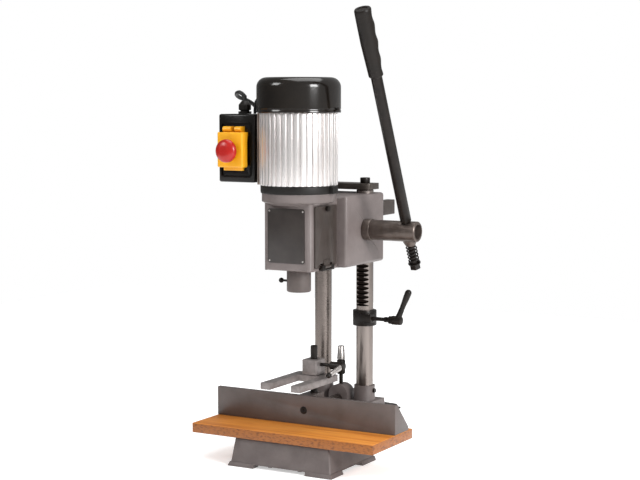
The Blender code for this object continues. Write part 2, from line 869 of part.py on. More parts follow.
# Tie plate across the column tops, held by two socket-head bolts.
plate = extruded(
    "column_tie_plate",
    rounded_rect(
        -PLATE_HALF,
        PLATE_HALF,
        COLUMN_Y - PLATE_HALF_DEPTH,
        COLUMN_Y + PLATE_HALF_DEPTH,
        PLATE_CORNER,
    ),
    PLATE_THICK,
    (0, 0, COLUMN_TOP + PLATE_THICK / 2),
    "grey_paint",
)
plate_top = COLUMN_TOP + PLATE_THICK
for side, where in ((-1, "left"), (1, "right")):
    spot = Vector((side * COLUMN_X, COLUMN_Y, 0))
    cut(
        plate,
        rod(
            "plate_hole",
            spot + Vector((0, 0, COLUMN_TOP - OVER)),
            spot + Vector((0, 0, plate_top + OVER)),
            PLATE_BOLT_R + GAP,
            sides=SMALL_SIDES,
        ),
    )
    turned(
        f"tie_plate_bolt_{where}",
        [
            (0, plate_top + GAP + PLATE_BOLT_HEAD_H - HEX_KEY_DEEP),
            (HEX_KEY_R, plate_top + GAP + PLATE_BOLT_HEAD_H - HEX_KEY_DEEP),
            (HEX_KEY_R, plate_top + GAP + PLATE_BOLT_HEAD_H),
            (PLATE_BOLT_HEAD_R, plate_top + GAP + PLATE_BOLT_HEAD_H),
            (PLATE_BOLT_HEAD_R, plate_top + GAP),
            (PLATE_BOLT_R, plate_top + GAP),
            (PLATE_BOLT_R, COLUMN_TOP - PLATE_BOLT_DEEP),
            (0, COLUMN_TOP - PLATE_BOLT_DEEP),
        ],
        spot,
        "black_paint",
        SMALL_SIDES,
    )

# Depth collar on the rack column, clamped by a screw with a lever on its right.
stop = turned(
    "depth_collar",
    [(0, STOP_TOP), (STOP_R, STOP_TOP), (STOP_R, STOP_LOW), (0, STOP_LOW)],
    (COLUMN_X, COLUMN_Y, 0),
    "dark_steel",
)
ear_low = STOP_SCREW_Z - STOP_HUB_R
ear_high = STOP_SCREW_Z + STOP_HUB_R
ear = box(
    "stop_ear",
    (COLUMN_X, STOP_SCREW_Y - STOP_HUB_R, ear_low),
    (COLUMN_X + STOP_BLOCK_OUT, STOP_SCREW_Y + STOP_HUB_R, ear_high),
)
join(stop, ear)
cut(
    stop,
    rod(
        "stop_bore",
        (COLUMN_X, COLUMN_Y, STOP_LOW - OVER),
        (COLUMN_X, COLUMN_Y, STOP_TOP + OVER),
        COLUMN_R + GAP,
    ),
    rod(
        "stop_screw_bore",
        (COLUMN_X, STOP_SCREW_Y, STOP_SCREW_Z),
        (COLUMN_X + STOP_BLOCK_OUT + OVER, STOP_SCREW_Y, STOP_SCREW_Z),
        STOP_SCREW_R + GAP,
        sides=SMALL_SIDES,
    ),
)
stop_hub_end = STOP_HUB_X + STOP_HUB_LONG
rod(
    "depth_lock_screw",
    (COLUMN_X + COLUMN_R + GAP - (COLUMN_Y - STOP_SCREW_Y) / 6, STOP_SCREW_Y, STOP_SCREW_Z),
    (STOP_HUB_X + STOP_HUB_LONG / 2, STOP_SCREW_Y, STOP_SCREW_Z),
    STOP_SCREW_R,
    "polished_steel",
    SMALL_SIDES,
)
stop_hub = turned(
    "depth_lock_hub",
    [
        (0, STOP_HUB_LONG),
        (STOP_HUB_R - COLUMN_CHAMFER, STOP_HUB_LONG),
        (STOP_HUB_R, STOP_HUB_LONG - COLUMN_CHAMFER),
        (STOP_HUB_R, STOP_RING_LONG),
        (STOP_HUB_R - COLUMN_CHAMFER, 0),
        (0, 0),
    ],
    (STOP_HUB_X, STOP_SCREW_Y, STOP_SCREW_Z),
    "black_plastic",
    SMALL_SIDES,
    (1, 0, 0),
)
cut(
    stop_hub,
    rod(
        "stop_hub_bore",
        (STOP_HUB_X - OVER, STOP_SCREW_Y, STOP_SCREW_Z),
        (STOP_HUB_X + STOP_HUB_LONG / 2 + GAP, STOP_SCREW_Y, STOP_SCREW_Z),
        STOP_SCREW_R + GAP,
        sides=SMALL_SIDES,
    ),
)
arm_turn = math.radians(STOP_ARM_LEAN_DEG)
arm_way = Vector((math.sin(arm_turn), 0, math.cos(arm_turn)))
arm_foot = Vector((stop_hub_end - STOP_HUB_R, STOP_SCREW_Y, STOP_SCREW_Z))
join(stop_hub, rod("stop_arm", arm_foot, arm_foot + arm_way * STOP_ARM_LONG, STOP_ARM_R, sides=SMALL_SIDES))
join(
    stop_hub,
    rod(
        "stop_tip",
        arm_foot + arm_way * (STOP_ARM_LONG - STOP_TIP_LONG),
        arm_foot + arm_way * STOP_ARM_LONG,
        STOP_ARM_R,
        sides=SMALL_SIDES,
        end_radius=STOP_TIP_R,
    ),
)

# Fence: an upright cast plate with a thin foot and a three-cornered gusset at each end,
# bolted to the bar that slides in the base's boss.
fence = box(
    "fence_casting",
    (-FENCE_HALF, FENCE_FACE, FENCE_LOW),
    (FENCE_HALF, FENCE_FACE + FENCE_THICK, FENCE_TOP),
    "dark_paint",
)
fence_back = FENCE_FACE + FENCE_THICK
join(
    fence,
    box(
        "fence_foot",
        (-FENCE_HALF, FENCE_FACE + FENCE_THICK / 2, FENCE_LOW),
        (FENCE_HALF, fence_back + FENCE_THICK, FENCE_LOW + FENCE_FOOT_H),
    ),
)
gusset = [
    (FENCE_FACE + FENCE_THICK / 2, FENCE_LOW),
    (FENCE_FACE + GUSSET_DEEP, FENCE_LOW),
    (FENCE_FACE + GUSSET_DEEP, FENCE_LOW + FENCE_FOOT_H),
    (fence_back, FENCE_TOP),
    (FENCE_FACE + FENCE_THICK / 2, FENCE_TOP),
]
for side in (-1, 1):
    join(
        fence,
        extruded(
            "fence_gusset",
            gusset,
            GUSSET_THICK,
            (side * (FENCE_HALF - GUSSET_THICK / 2), 0, 0),
            plane="YZ",
        ),
    )
pad_back = POST_Y + POST_PAD_HALF
join(
    fence,
    box(
        "post_pad",
        (POST_X - POST_PAD_HALF, fence_back - FENCE_THICK / 2, FENCE_TOP - POST_PAD_H),
        (POST_X + POST_PAD_HALF, pad_back, FENCE_TOP),
    ),
)
cut(
    fence,
    rod(
        "fence_bolt_hole",
        (0, FENCE_FACE - OVER, FENCE_BOLT_Z),
        (0, fence_back + OVER, FENCE_BOLT_Z),
        FENCE_BOLT_R + GAP,
        sides=SMALL_SIDES,
    ),
    rod(
        "post_hole",
        (POST_X, POST_Y, FENCE_TOP - POST_PAD_H - OVER),
        (POST_X, POST_Y, FENCE_TOP + OVER),
        POST_R + GAP,
        sides=SMALL_SIDES,
    ),
)
# The bar's front end butts on the fence under the post's pad, and takes the bolt.
bar = rod(
    "fence_bar",
    (0, fence_back + GAP, FENCE_BOLT_Z),
    (0, FENCE_BAR_BACK, FENCE_BOLT_Z),
    FENCE_BAR_R,
    "polished_steel",
)
cut(
    bar,
    rod(
        "bar_thread",
        (0, fence_back - OVER, FENCE_BOLT_Z),
        (0, fence_back + POST_PAD_H + GAP, FENCE_BOLT_Z),
        FENCE_BOLT_R + GAP,
        sides=SMALL_SIDES,
    ),
)
turned(
    "fence_bolt",
    [
        (0, -HEX_KEY_DEEP / 2),
        (HEX_KEY_R / 2, -HEX_KEY_DEEP / 2),
        (HEX_KEY_R / 2, 0),
        (FENCE_BOLT_HEAD_R, 0),
        (FENCE_BOLT_HEAD_R, -FENCE_BOLT_HEAD_H),
        (FENCE_BOLT_R, -FENCE_BOLT_HEAD_H),
        (FENCE_BOLT_R, -FENCE_BOLT_HEAD_H - FENCE_THICK - POST_PAD_H + GAP),
        (0, -FENCE_BOLT_HEAD_H - FENCE_THICK - POST_PAD_H + GAP),
    ],
    (0, FENCE_FACE - FENCE_BOLT_HEAD_H - GAP, FENCE_BOLT_Z),
    "black_paint",
    SMALL_SIDES,
    (0, -1, 0),
)

# Lock lever of the fence: screw down on the bar, black hub and a silver arm.
rod(
    "fence_lock_screw",
    (LOCK_X, LOCK_Y, FENCE_BOLT_Z + FENCE_BAR_R + GAP),
    (LOCK_X, LOCK_Y, LOCK_HUB_LOW + LOCK_HUB_H / 2),
    LOCK_SCREW_R,
    "polished_steel",
    SMALL_SIDES,
)
lock_hub = rod(
    "fence_lock_hub",
    (LOCK_X, LOCK_Y, LOCK_HUB_LOW),
    (LOCK_X, LOCK_Y, LOCK_HUB_LOW + LOCK_HUB_H),
    LOCK_HUB_R,
    "black_plastic",
    SMALL_SIDES,
)
round_edges(lock_hub, COLUMN_CHAMFER)
cut(
    lock_hub,
    rod(
        "lock_hub_bore",
        (LOCK_X, LOCK_Y, LOCK_HUB_LOW - OVER),
        (LOCK_X, LOCK_Y, LOCK_HUB_LOW + LOCK_HUB_H / 2 + GAP),
        LOCK_SCREW_R + GAP,
        sides=SMALL_SIDES,
    ),
)
lock_turn = math.radians(LOCK_ARM_LEAN_DEG)
lock_way = Vector((math.sin(lock_turn), 0, math.cos(lock_turn)))
lock_hub_top = Vector((LOCK_X, LOCK_Y, LOCK_HUB_LOW + LOCK_HUB_H + GAP))
rod(
    "fence_lock_arm",
    lock_hub_top + Vector((0, 0, LOCK_ARM_R * math.sin(lock_turn))),
    lock_hub_top + lock_way * (LOCK_ARM_TOP - lock_hub_top.z),
    LOCK_ARM_R,
    "polished_steel",
    SMALL_SIDES,
)

# Hold-down: the fork and its clamp block slide on a post in the fence's pad.
rod(
    "hold_down_post",
    (POST_X, POST_Y, FENCE_TOP - POST_PAD_H),
    (POST_X, POST_Y, POST_TOP),
    POST_R,
    "polished_steel",
)
fork_top = FORK_LOW + FORK_THICK
fork_outline = [
    (POST_X - FORK_OUT, FORK_FRONT),
    (POST_X - FORK_IN, FORK_FRONT),
    (POST_X - FORK_IN, FORK_BAR_FRONT - POST_PAD_HALF),
    (POST_X + FORK_IN, FORK_BAR_FRONT - POST_PAD_HALF),
    (POST_X + FORK_IN, FORK_FRONT),
    (POST_X + FORK_OUT, FORK_FRONT),
    (POST_X + FORK_OUT, FORK_BACK),
    (POST_X - FORK_OUT, FORK_BACK),
]
fork = extruded("hold_down_fork", fork_outline, FORK_THICK, (0, 0, FORK_LOW + FORK_THICK / 2), "polished_steel")
block = box(
    "hold_down_block",
    (POST_X - BLOCK_HALF, BLOCK_FRONT, fork_top + GAP),
    (POST_X + BLOCK_HALF, FORK_BACK, BLOCK_HIGH),
    "grey_paint",
    FORK_EDGE,
)
for thing in (fork, block):
    cut(
        thing,
        rod(
            "post_way",
            (POST_X, POST_Y, FORK_LOW - OVER),
            (POST_X, POST_Y, BLOCK_HIGH + OVER),
            POST_R + GAP,
        ),
    )
cut(
    block,
    rod(
        "hold_screw_bore",
        (POST_X, POST_Y, HOLD_SCREW_Z),
        (POST_X + BLOCK_HALF + OVER, POST_Y, HOLD_SCREW_Z),
        HOLD_SCREW_R + GAP,
        sides=SMALL_SIDES,
    ),
)
rod(
    "hold_down_screw",
    (POST_X + POST_R + GAP, POST_Y, HOLD_SCREW_Z),
    (POST_X + HOLD_HUB_X + HOLD_HUB_LONG / 2, POST_Y, HOLD_SCREW_Z),
    HOLD_SCREW_R,
    "polished_steel",
    SMALL_SIDES,
)
hold_hub = rod(
    "hold_down_lock_hub",
    (POST_X + HOLD_HUB_X, POST_Y, HOLD_SCREW_Z),
    (POST_X + HOLD_HUB_X + HOLD_HUB_LONG, POST_Y, HOLD_SCREW_Z),
    HOLD_HUB_R,
    "black_plastic",
    SMALL_SIDES,
)
round_edges(hold_hub, COLUMN_CHAMFER)
cut(
    hold_hub,
    rod(
        "hold_hub_bore",
        (POST_X + HOLD_HUB_X - OVER, POST_Y, HOLD_SCREW_Z),
        (POST_X + HOLD_HUB_X + HOLD_HUB_LONG / 2 + GAP, POST_Y, HOLD_SCREW_Z),
        HOLD_SCREW_R + GAP,
        sides=SMALL_SIDES,
    ),
)
hold_turn = math.radians(HOLD_ARM_DEG)
hold_way = Vector((0, -math.sin(hold_turn), math.cos(hold_turn)))
hold_foot = Vector((POST_X + HOLD_HUB_X + HOLD_HUB_LONG - HOLD_HUB_R, POST_Y, HOLD_SCREW_Z))
arm_start = hold_foot + hold_way * (HOLD_HUB_R + GAP)
hold_arm = rod(
    "hold_down_lock_arm",
    arm_start,
    hold_foot + hold_way * (HOLD_ARM_LONG - HOLD_TIP_LONG / 2),
    HOLD_ARM_R,
    "polished_steel",
    SMALL_SIDES,
)
join(
    hold_arm,
    rod(
        "hold_tip",
        hold_foot + hold_way * (HOLD_ARM_LONG - HOLD_TIP_LONG),
        hold_foot + hold_way * HOLD_ARM_LONG,
        HOLD_TIP_R,
        sides=SMALL_SIDES,
    ),
)

# Head casting: a square chuck chamber in front, the wider column housing behind it and
# a round collar on top that flares out under the motor.
head = box(
    "head_casting",
    (-HOUSING_HALF, HEAD_STEP_Y, HEAD_BOTTOM),
    (HOUSING_HALF, HOUSING_BACK, HEAD_TOP),
    "grey_paint",
    HEAD_EDGE,
    3,
)
join(
    head,
    settle(
        box(
            "head_front",
            (-HEAD_HALF, HEAD_FRONT, HEAD_BOTTOM),
            (HEAD_HALF, HEAD_STEP_Y + HEAD_EDGE + HEAD_EDGE, HEAD_TOP),
            None,
            HEAD_EDGE / 2,
            2,
        )
    ),
    turned(
        "top_collar",
        [
            (0, TOP_COLLAR_Z),
            (TOP_COLLAR_R, TOP_COLLAR_Z),
            (TOP_COLLAR_R, TOP_COLLAR_Z - TOP_COLLAR_H),
            (TOP_CONE_R, TOP_COLLAR_Z - TOP_COLLAR_H - TOP_CONE_H),
            (0, TOP_COLLAR_Z - TOP_COLLAR_H - TOP_CONE_H),
        ],
        (0, SPINDLE_Y, 0),
        None,
        HEAD_SIDES,
    ),
)
cut(
    head,
    box(
        "chamber",
        (-HEAD_HALF + CHAMBER_WALL, HEAD_FRONT + CHAMBER_WALL, CHAMBER_FLOOR),
        (HEAD_HALF - CHAMBER_WALL, CHAMBER_BACK, CHAMBER_TOP),
    ),
    box(
        "door_way",
        (0, DOOR_WAY_FRONT, DOOR_WAY_LOW),
        (HEAD_HALF + OVER, DOOR_WAY_BACK, DOOR_WAY_HIGH),
    ),
    rod(
        "spindle_hole",
        (0, SPINDLE_Y, CHAMBER_TOP - OVER),
        (0, SPINDLE_Y, TOP_COLLAR_Z + OVER),
        BEARING_R + GAP,
        sides=HEAD_SIDES,
    ),
    rod(
        "chisel_hole",
        (0, SPINDLE_Y, HEAD_BOTTOM - OVER),
        (0, SPINDLE_Y, CHAMBER_FLOOR + OVER),
        CHISEL_SPIGOT_R + GAP,
        sides=HEAD_SIDES,
    ),
    box(
        "web_pocket",
        (-WEB_POCKET_HALF, WEB_POCKET_FRONT, HEAD_BOTTOM - OVER),
        (WEB_POCKET_HALF, WEB_POCKET_BACK, WEB_POCKET_TOP),
    ),
)
for side in (-1, 1):
    spot = Vector((side * COLUMN_X, COLUMN_Y, 0))
    cut(
        head,
        rod(
            "column_way",
            spot + Vector((0, 0, HEAD_BOTTOM - OVER)),
            spot + Vector((0, 0, HEAD_TOP + OVER)),
            COLUMN_R + GAP,
            sides=HEAD_SIDES,
        ),
    )
outer_r = PITCH_R + MODULE
cut(
    head,
    rod(
        "gear_room",
        (PINION_X - PINION_HALF - GEAR_ROOM, PINION_Y, PINION_Z),
        (PINION_X + PINION_HALF + GEAR_ROOM, PINION_Y, PINION_Z),
        outer_r + GEAR_ROOM,
        sides=HEAD_SIDES,
    ),
    rod(
        "shaft_way",
        (SHAFT_INNER_X - GEAR_ROOM, PINION_Y, PINION_Z),
        (HOUSING_HALF + OVER, PINION_Y, PINION_Z),
        SHAFT_R + GAP,
        sides=HEAD_SIDES,
    ),
)

# Chisel socket: a flanged bush under the head with its clamp screw on the left.
socket = turned(
    "chisel_socket",
    [
        (CHISEL_SPIGOT_R, CHAMBER_FLOOR),
        (CHISEL_SPIGOT_R, HEAD_BOTTOM - GAP),
        (CHISEL_R, HEAD_BOTTOM - GAP),
        (CHISEL_R, CHISEL_LOW + COLUMN_CHAMFER),
        (CHISEL_R - COLUMN_CHAMFER, CHISEL_LOW),
        (CHISEL_BORE_R, CHISEL_LOW),
        (CHISEL_BORE_R, CHAMBER_FLOOR),
    ],
    (0, SPINDLE_Y, 0),
    "dark_steel",
)
cut(
    socket,
    rod(
        "clamp_bore",
        (-CHISEL_R - OVER, SPINDLE_Y, CLAMP_Z),
        (-CHISEL_BORE_R + OVER, SPINDLE_Y, CLAMP_Z),
        CLAMP_SCREW_R + GAP,
        sides=SMALL_SIDES,
    ),
)
turned(
    "chisel_clamp_screw",
    [
        (0, CHISEL_R + CLAMP_HEAD_LONG - CLAMP_SCREW_R / 2),
        (CLAMP_SCREW_R / 2, CHISEL_R + CLAMP_HEAD_LONG),
        (CLAMP_HEAD_R, CHISEL_R + CLAMP_HEAD_LONG),
        (CLAMP_HEAD_R, CHISEL_R + GAP),
        (CLAMP_SCREW_R, CHISEL_R + GAP),
        (CLAMP_SCREW_R, CHISEL_BORE_R + GAP),
        (0, CHISEL_BORE_R + GAP),
    ],
    (0, SPINDLE_Y, CLAMP_Z),
    "black_paint",
    SMALL_SIDES,
    (-1, 0, 0),
)

# Access door over the chuck, hinged on a block at its lower edge.
door_x = HEAD_HALF + GAP
door = extruded(
    "access_door",
    rounded_rect(DOOR_FRONT, DOOR_BACK, DOOR_LOW, DOOR_HIGH, DOOR_CORNER),
    DOOR_THICK,
    (door_x + DOOR_THICK / 2, 0, 0),
    "dark_paint",
    "YZ",
)
door_mid = (DOOR_FRONT + DOOR_BACK) / 2
pin_x = door_x + DOOR_THICK + HINGE_BLOCK_THICK / 2
pin_z = DOOR_LOW
join(
    door,
    box(
        "door_leaf",
        (door_x + DOOR_THICK / 2, door_mid - DOOR_KNUCKLE_HALF + GAP, pin_z),
        (pin_x, door_mid + DOOR_KNUCKLE_HALF - GAP, DOOR_LOW + HINGE_BLOCK_H),
    ),
    rod(
        "door_barrel",
        (pin_x, door_mid - DOOR_KNUCKLE_HALF + GAP, pin_z),
        (pin_x, door_mid + DOOR_KNUCKLE_HALF - GAP, pin_z),
        DOOR_KNUCKLE_R,
        sides=SMALL_SIDES,
    ),
)
for side in (-1, 1):
    near = door_mid + side * (DOOR_KNUCKLE_HALF - GAP)
    far = door_mid + side * (2 * DOOR_KNUCKLE_HALF + GAP)
    cut(
        door,
        box(
            "hinge_notch",
            (door_x - OVER, min(near, far), DOOR_LOW - OVER),
            (door_x + DOOR_THICK + OVER, max(near, far), DOOR_LOW + 2 * DOOR_KNUCKLE_R),
        ),
    )
cut(
    door,
    rod(
        "door_pin_way",
        (pin_x, DOOR_FRONT, pin_z),
        (pin_x, DOOR_BACK, pin_z),
        DOOR_PIN_R + GAP,
        sides=SMALL_SIDES,
    ),
    rod(
        "door_knob_hole",
        (HEAD_HALF, door_mid, DOOR_HIGH - DOOR_KNOB_DOWN),
        (door_x + DOOR_THICK + OVER, door_mid, DOOR_HIGH - DOOR_KNOB_DOWN),
        DOOR_SCREW_R + GAP,
        sides=SMALL_SIDES,
    ),
)
turned(
    "door_knob",
    [
        (0, DOOR_THICK + GAP + DOOR_KNOB_LONG),
        (DOOR_KNOB_R, DOOR_THICK + GAP + DOOR_KNOB_LONG),
        (DOOR_KNOB_R, DOOR_THICK + GAP),
        (DOOR_SCREW_R, DOOR_THICK + GAP),
        (DOOR_SCREW_R, GAP),
        (0, GAP),
    ],
    (door_x, door_mid, DOOR_HIGH - DOOR_KNOB_DOWN),
    "black_paint",
    SMALL_SIDES,
    (1, 0, 0),
)
# The hinge's fixed half: two ears on a foot under the door, with the pin through them.
hinge = box(
    "door_hinge",
    (HEAD_HALF + GAP, door_mid - 2 * DOOR_KNUCKLE_HALF, HEAD_BOTTOM),
    (pin_x + DOOR_KNUCKLE_R, door_mid + 2 * DOOR_KNUCKLE_HALF, pin_z + DOOR_KNUCKLE_R),
    "black_paint",
)
cut(
    hinge,
    box(
        "hinge_slot",
        (HEAD_HALF - OVER, door_mid - DOOR_KNUCKLE_HALF, pin_z - DOOR_KNUCKLE_R - GAP),
        (pin_x + DOOR_KNUCKLE_R + OVER, door_mid + DOOR_KNUCKLE_HALF, pin_z + DOOR_KNUCKLE_R + OVER),
    ),
)
join(
    hinge,
    rod(
        "hinge_pin",
        (pin_x, door_mid - DOOR_KNUCKLE_HALF * 3 / 2, pin_z),
        (pin_x, door_mid + DOOR_KNUCKLE_HALF * 3 / 2, pin_z),
        DOOR_PIN_R,
        sides=SMALL_SIDES,
    ),
)

# Rear bracket on the housing's back with its thin upright pin.
lug = box(
    "rear_bracket",
    (LUG_INNER_X, HOUSING_BACK + GAP, LUG_LOW),
    (LUG_OUTER_X, FRONT_REACH, LUG_HIGH),
    "grey_paint",
    TABLE_EDGE / 2,
)
lug_mid = (LUG_INNER_X + LUG_OUTER_X) / 2
cut(
    lug,
    rod(
        "lug_pin_hole",
        (lug_mid, LUG_PIN_Y, LUG_LOW - OVER),
        (lug_mid, LUG_PIN_Y, LUG_HIGH + OVER),
        LUG_PIN_R + GAP,
        sides=SMALL_SIDES,
    ),
)
rod(
    "rear_bracket_pin",
    (lug_mid, LUG_PIN_Y, LUG_PIN_LOW),
    (lug_mid, LUG_PIN_Y, LUG_PIN_HIGH),
    LUG_PIN_R,
    "dark_steel",
    SMALL_SIDES,
)

# Motor: black flange with the lower bearing, finned aluminium body, end shield and the
# black cap over the fan.
turned(
    "motor_flange",
    [
        (FLANGE_R, FLANGE_LOW + FLANGE_H),
        (FLANGE_R, FLANGE_LOW),
        (SPINDLE_R + BEARING_ROOM, FLANGE_LOW),
        (SPINDLE_R + BEARING_ROOM, FLANGE_LOW + FLANGE_H),
    ],
    (0, SPINDLE_Y, 0),
    "black_paint",
    MOTOR_SIDES,
)
fin_outline = []
for number in range(FIN_COUNT):
    land = math.pi / FIN_COUNT * FIN_LAND_SHARE
    middle = math.tau * number / FIN_COUNT
    for turn, r in (
        (middle - land, MOTOR_R),
        (middle + land, MOTOR_R),
        (middle + land + (math.pi / FIN_COUNT - land) / 2, MOTOR_R - FIN_DEEP),
        (middle + math.tau / FIN_COUNT - land - (math.pi / FIN_COUNT - land) / 2, MOTOR_R - FIN_DEEP),
    ):
        fin_outline.append((r * math.cos(turn), r * math.sin(turn)))
motor = extruded(
    "motor_housing",
    fin_outline,
    MOTOR_H,
    (0, SPINDLE_Y, MOTOR_LOW + MOTOR_H / 2),
    "aluminium",
)
join(
    motor,
    box(
        "switch_pad",
        (BOX_RIGHT + GAP, PAD_FRONT, PAD_LOW),
        (-MOTOR_R * math.cos(math.asin((SPINDLE_Y - PAD_FRONT) / MOTOR_R)) + 2 * FIN_DEEP, PAD_BACK, PAD_HIGH),
    ),
)
cut(
    motor,
    rod(
        "motor_bore",
        (0, SPINDLE_Y, MOTOR_LOW - OVER),
        (0, SPINDLE_Y, MOTOR_LOW + MOTOR_H + OVER),
        MOTOR_BORE_R,
    ),
)
turned(
    "motor_end_shield",
    [
        (CAP_R - CAP_WALL - GAP, SHIELD_LOW + SHIELD_H),
        (CAP_R - CAP_WALL - GAP, SHIELD_LOW),
        (SPINDLE_R + BEARING_ROOM, SHIELD_LOW),
        (SPINDLE_R + BEARING_ROOM, SHIELD_LOW + SHIELD_H),
    ],
    (0, SPINDLE_Y, 0),
    "aluminium",
    MOTOR_SIDES,
)
cap_high = CAP_LOW + CAP_H
cap_profile = [(0, cap_high)]
for number in range(5):
    turn = math.pi / 2 * (1 - number / 4)
    cap_profile.append(
        (
            CAP_R - CAP_ROUND + CAP_ROUND * math.cos(turn),
            cap_high - CAP_ROUND + CAP_ROUND * math.sin(turn),
        )
    )
cap_profile += [(CAP_R, CAP_LOW), (CAP_R - CAP_WALL, CAP_LOW)]
for number in range(5):
    turn = math.pi / 2 * number / 4
    cap_profile.append(
        (
            CAP_R - CAP_ROUND + (CAP_ROUND - CAP_WALL) * math.cos(turn),
            cap_high - CAP_ROUND + (CAP_ROUND - CAP_WALL) * math.sin(turn),
        )
    )
cap_profile.append((0, cap_high - CAP_WALL))
cap = turned("motor_cap", cap_profile, (0, SPINDLE_Y, 0), "black_paint", MOTOR_SIDES)
screw_z = SHIELD_LOW + SHIELD_H / 2
for side, where in ((-1, "left"), (1, "right")):
    for thing in (cap, bpy.data.objects["motor_end_shield"]):
        cut(
            thing,
            rod(
                "cap_screw_hole",
                (side * (CAP_R - 3 * CAP_WALL), SPINDLE_Y, screw_z),
                (side * (CAP_R + OVER), SPINDLE_Y, screw_z),
                CAP_SCREW_R + GAP,
                sides=SMALL_SIDES,
            ),
        )
    turned(
        f"motor_cap_screw_{where}",
        [
            (0, CAP_R + GAP + CAP_SCREW_HEAD_H),
            (CAP_SCREW_HEAD_R, CAP_R + GAP + CAP_SCREW_HEAD_H),
            (CAP_SCREW_HEAD_R, CAP_R + GAP),
            (CAP_SCREW_R, CAP_R + GAP),
            (CAP_SCREW_R, CAP_R - 2 * CAP_WALL),
            (0, CAP_R - 2 * CAP_WALL),
        ],
        (0, SPINDLE_Y, screw_z),
        "dark_steel",
        SMALL_SIDES,
        (side, 0, 0),
    )

# Rotor on its shaft, cooling fan and drill chuck: all that the spindle turns.
turned(
    "motor_shaft",
    [
        (0, SPINDLE_HIGH),
        (SPINDLE_R, SPINDLE_HIGH),
        (SPINDLE_R, ROTOR_HIGH),
        (ROTOR_R, ROTOR_HIGH),
        (ROTOR_R, ROTOR_LOW),
        (SPINDLE_R, ROTOR_LOW),
        (SPINDLE_R, SPINDLE_LOW),
        (0, SPINDLE_LOW),
    ],
    (0, SPINDLE_Y, 0),
    "polished_steel",
)
fan = turned(
    "cooling_fan",
    [
        (FAN_HUB_R, FAN_LOW + FAN_H),
        (FAN_HUB_R, FAN_LOW),
        (SPINDLE_R + GAP, FAN_LOW),
        (SPINDLE_R + GAP, FAN_LOW + FAN_H),
    ],
    (0, SPINDLE_Y, 0),
    "black_plastic",
)
for number in range(FAN_BLADES):
    blade = box(
        "fan_blade",
        (SPINDLE_R + GAP + FAN_BLADE_THICK, -FAN_BLADE_THICK / 2, FAN_LOW),
        (FAN_R, FAN_BLADE_THICK / 2, FAN_LOW + FAN_H - FAN_BLADE_THICK),
    )
    turn = Matrix.Rotation(math.tau * number / FAN_BLADES, 4, "Z")
    blade.data.transform(Matrix.Translation((0, SPINDLE_Y, 0)) @ turn)
    join(fan, blade)
chuck = turned(
    "drill_chuck",
    [
        (0, SPINDLE_LOW - GAP),
        (SPINDLE_R + GAP, SPINDLE_LOW - GAP),
        (SPINDLE_R + GAP, CHUCK_HIGH),
        (CHUCK_NOSE_R, CHUCK_HIGH),
        (CHUCK_BODY_R, CHUCK_HIGH - CHUCK_NOSE_H / 2),
        (CHUCK_BODY_R, CHUCK_RING_LOW + CHUCK_RING_H),
        (CHUCK_RING_R, CHUCK_RING_LOW + CHUCK_RING_H),
        (CHUCK_RING_R, CHUCK_RING_LOW),
        (CHUCK_NOSE_R, CHUCK_LOW),
        (CHUCK_MOUTH_R, CHUCK_LOW),
        (CHUCK_MOUTH_R, CHUCK_LOW + CHUCK_BORE_DEEP),
        (0, CHUCK_LOW + CHUCK_BORE_DEEP),
    ],
    (0, SPINDLE_Y, 0),
    "polished_steel",
)
for number in range(3):
    turn = math.tau * number / 3 + JAW_TURN
    foot = Vector((JAW_OUT_R * math.cos(turn), SPINDLE_Y + JAW_OUT_R * math.sin(turn), JAW_LOW))
    head_end = Vector(
        (
            CHUCK_MOUTH_R * math.cos(turn),
            SPINDLE_Y + CHUCK_MOUTH_R * math.sin(turn),
            CHUCK_LOW + CHUCK_BORE_DEEP / 2,
        )
    )
    jaw = rod("jaw", foot, head_end, JAW_R, sides=SMALL_SIDES // 2)
    join(chuck, jaw)


# Pinion: involute teeth on the feed shaft, in mesh with the column's rack.
def involute_gear(name, centre, width):
    base_r = PITCH_R * math.cos(math.radians(PRESSURE_DEG))
    tip_r = PITCH_R + MODULE
    root_r = PITCH_R - DEDENDUM_SHARE * MODULE
    low_r = max(base_r, root_r)

    def roll(r):
        bend = math.acos(min(1, base_r / r))
        return math.tan(bend) - bend

    half = (math.pi / 2 * MODULE - BACKLASH) / 2 / PITCH_R + roll(PITCH_R)
    radii = [low_r + (tip_r - low_r) * k / (FLANK_POINTS - 1) for k in range(FLANK_POINTS)]
    outline = []
    for tooth in range(PINION_TEETH):
        # The gap between two teeth faces the rack's tooth at +Y.
        middle = math.tau * (tooth + 1 / 2) / PINION_TEETH
        flank = [(r, half - roll(r)) for r in radii]
        lows = [(root_r, half)] if root_r < base_r else []
        for r, turn in [(r, -t) for r, t in lows + flank] + [(r, t) for r, t in reversed(lows + flank)]:
            outline.append((r * math.cos(middle + turn), r * math.sin(middle + turn)))
    return extruded(name, outline, width, centre, plane="YZ")


pinion = rod(
    "pinion_shaft",
    (SHAFT_INNER_X, PINION_Y, PINION_Z),
    (SHAFT_OUTER_X, PINION_Y, PINION_Z),
    SHAFT_R,
    "dark_steel",
)
join(pinion, involute_gear("pinion_teeth", (PINION_X, PINION_Y, PINION_Z), 2 * PINION_HALF))

# Feed hub: a sleeve on the shaft whose open end carries the lever, and a clip collar.
lean_turn = math.radians(LEVER_LEAN_DEG)
lever_way = Vector((0, -math.sin(lean_turn), math.cos(lean_turn)))
hub_centre = Vector((LEVER_X, PINION_Y, PINION_Z))


def along(distance):
    return hub_centre + lever_way * distance


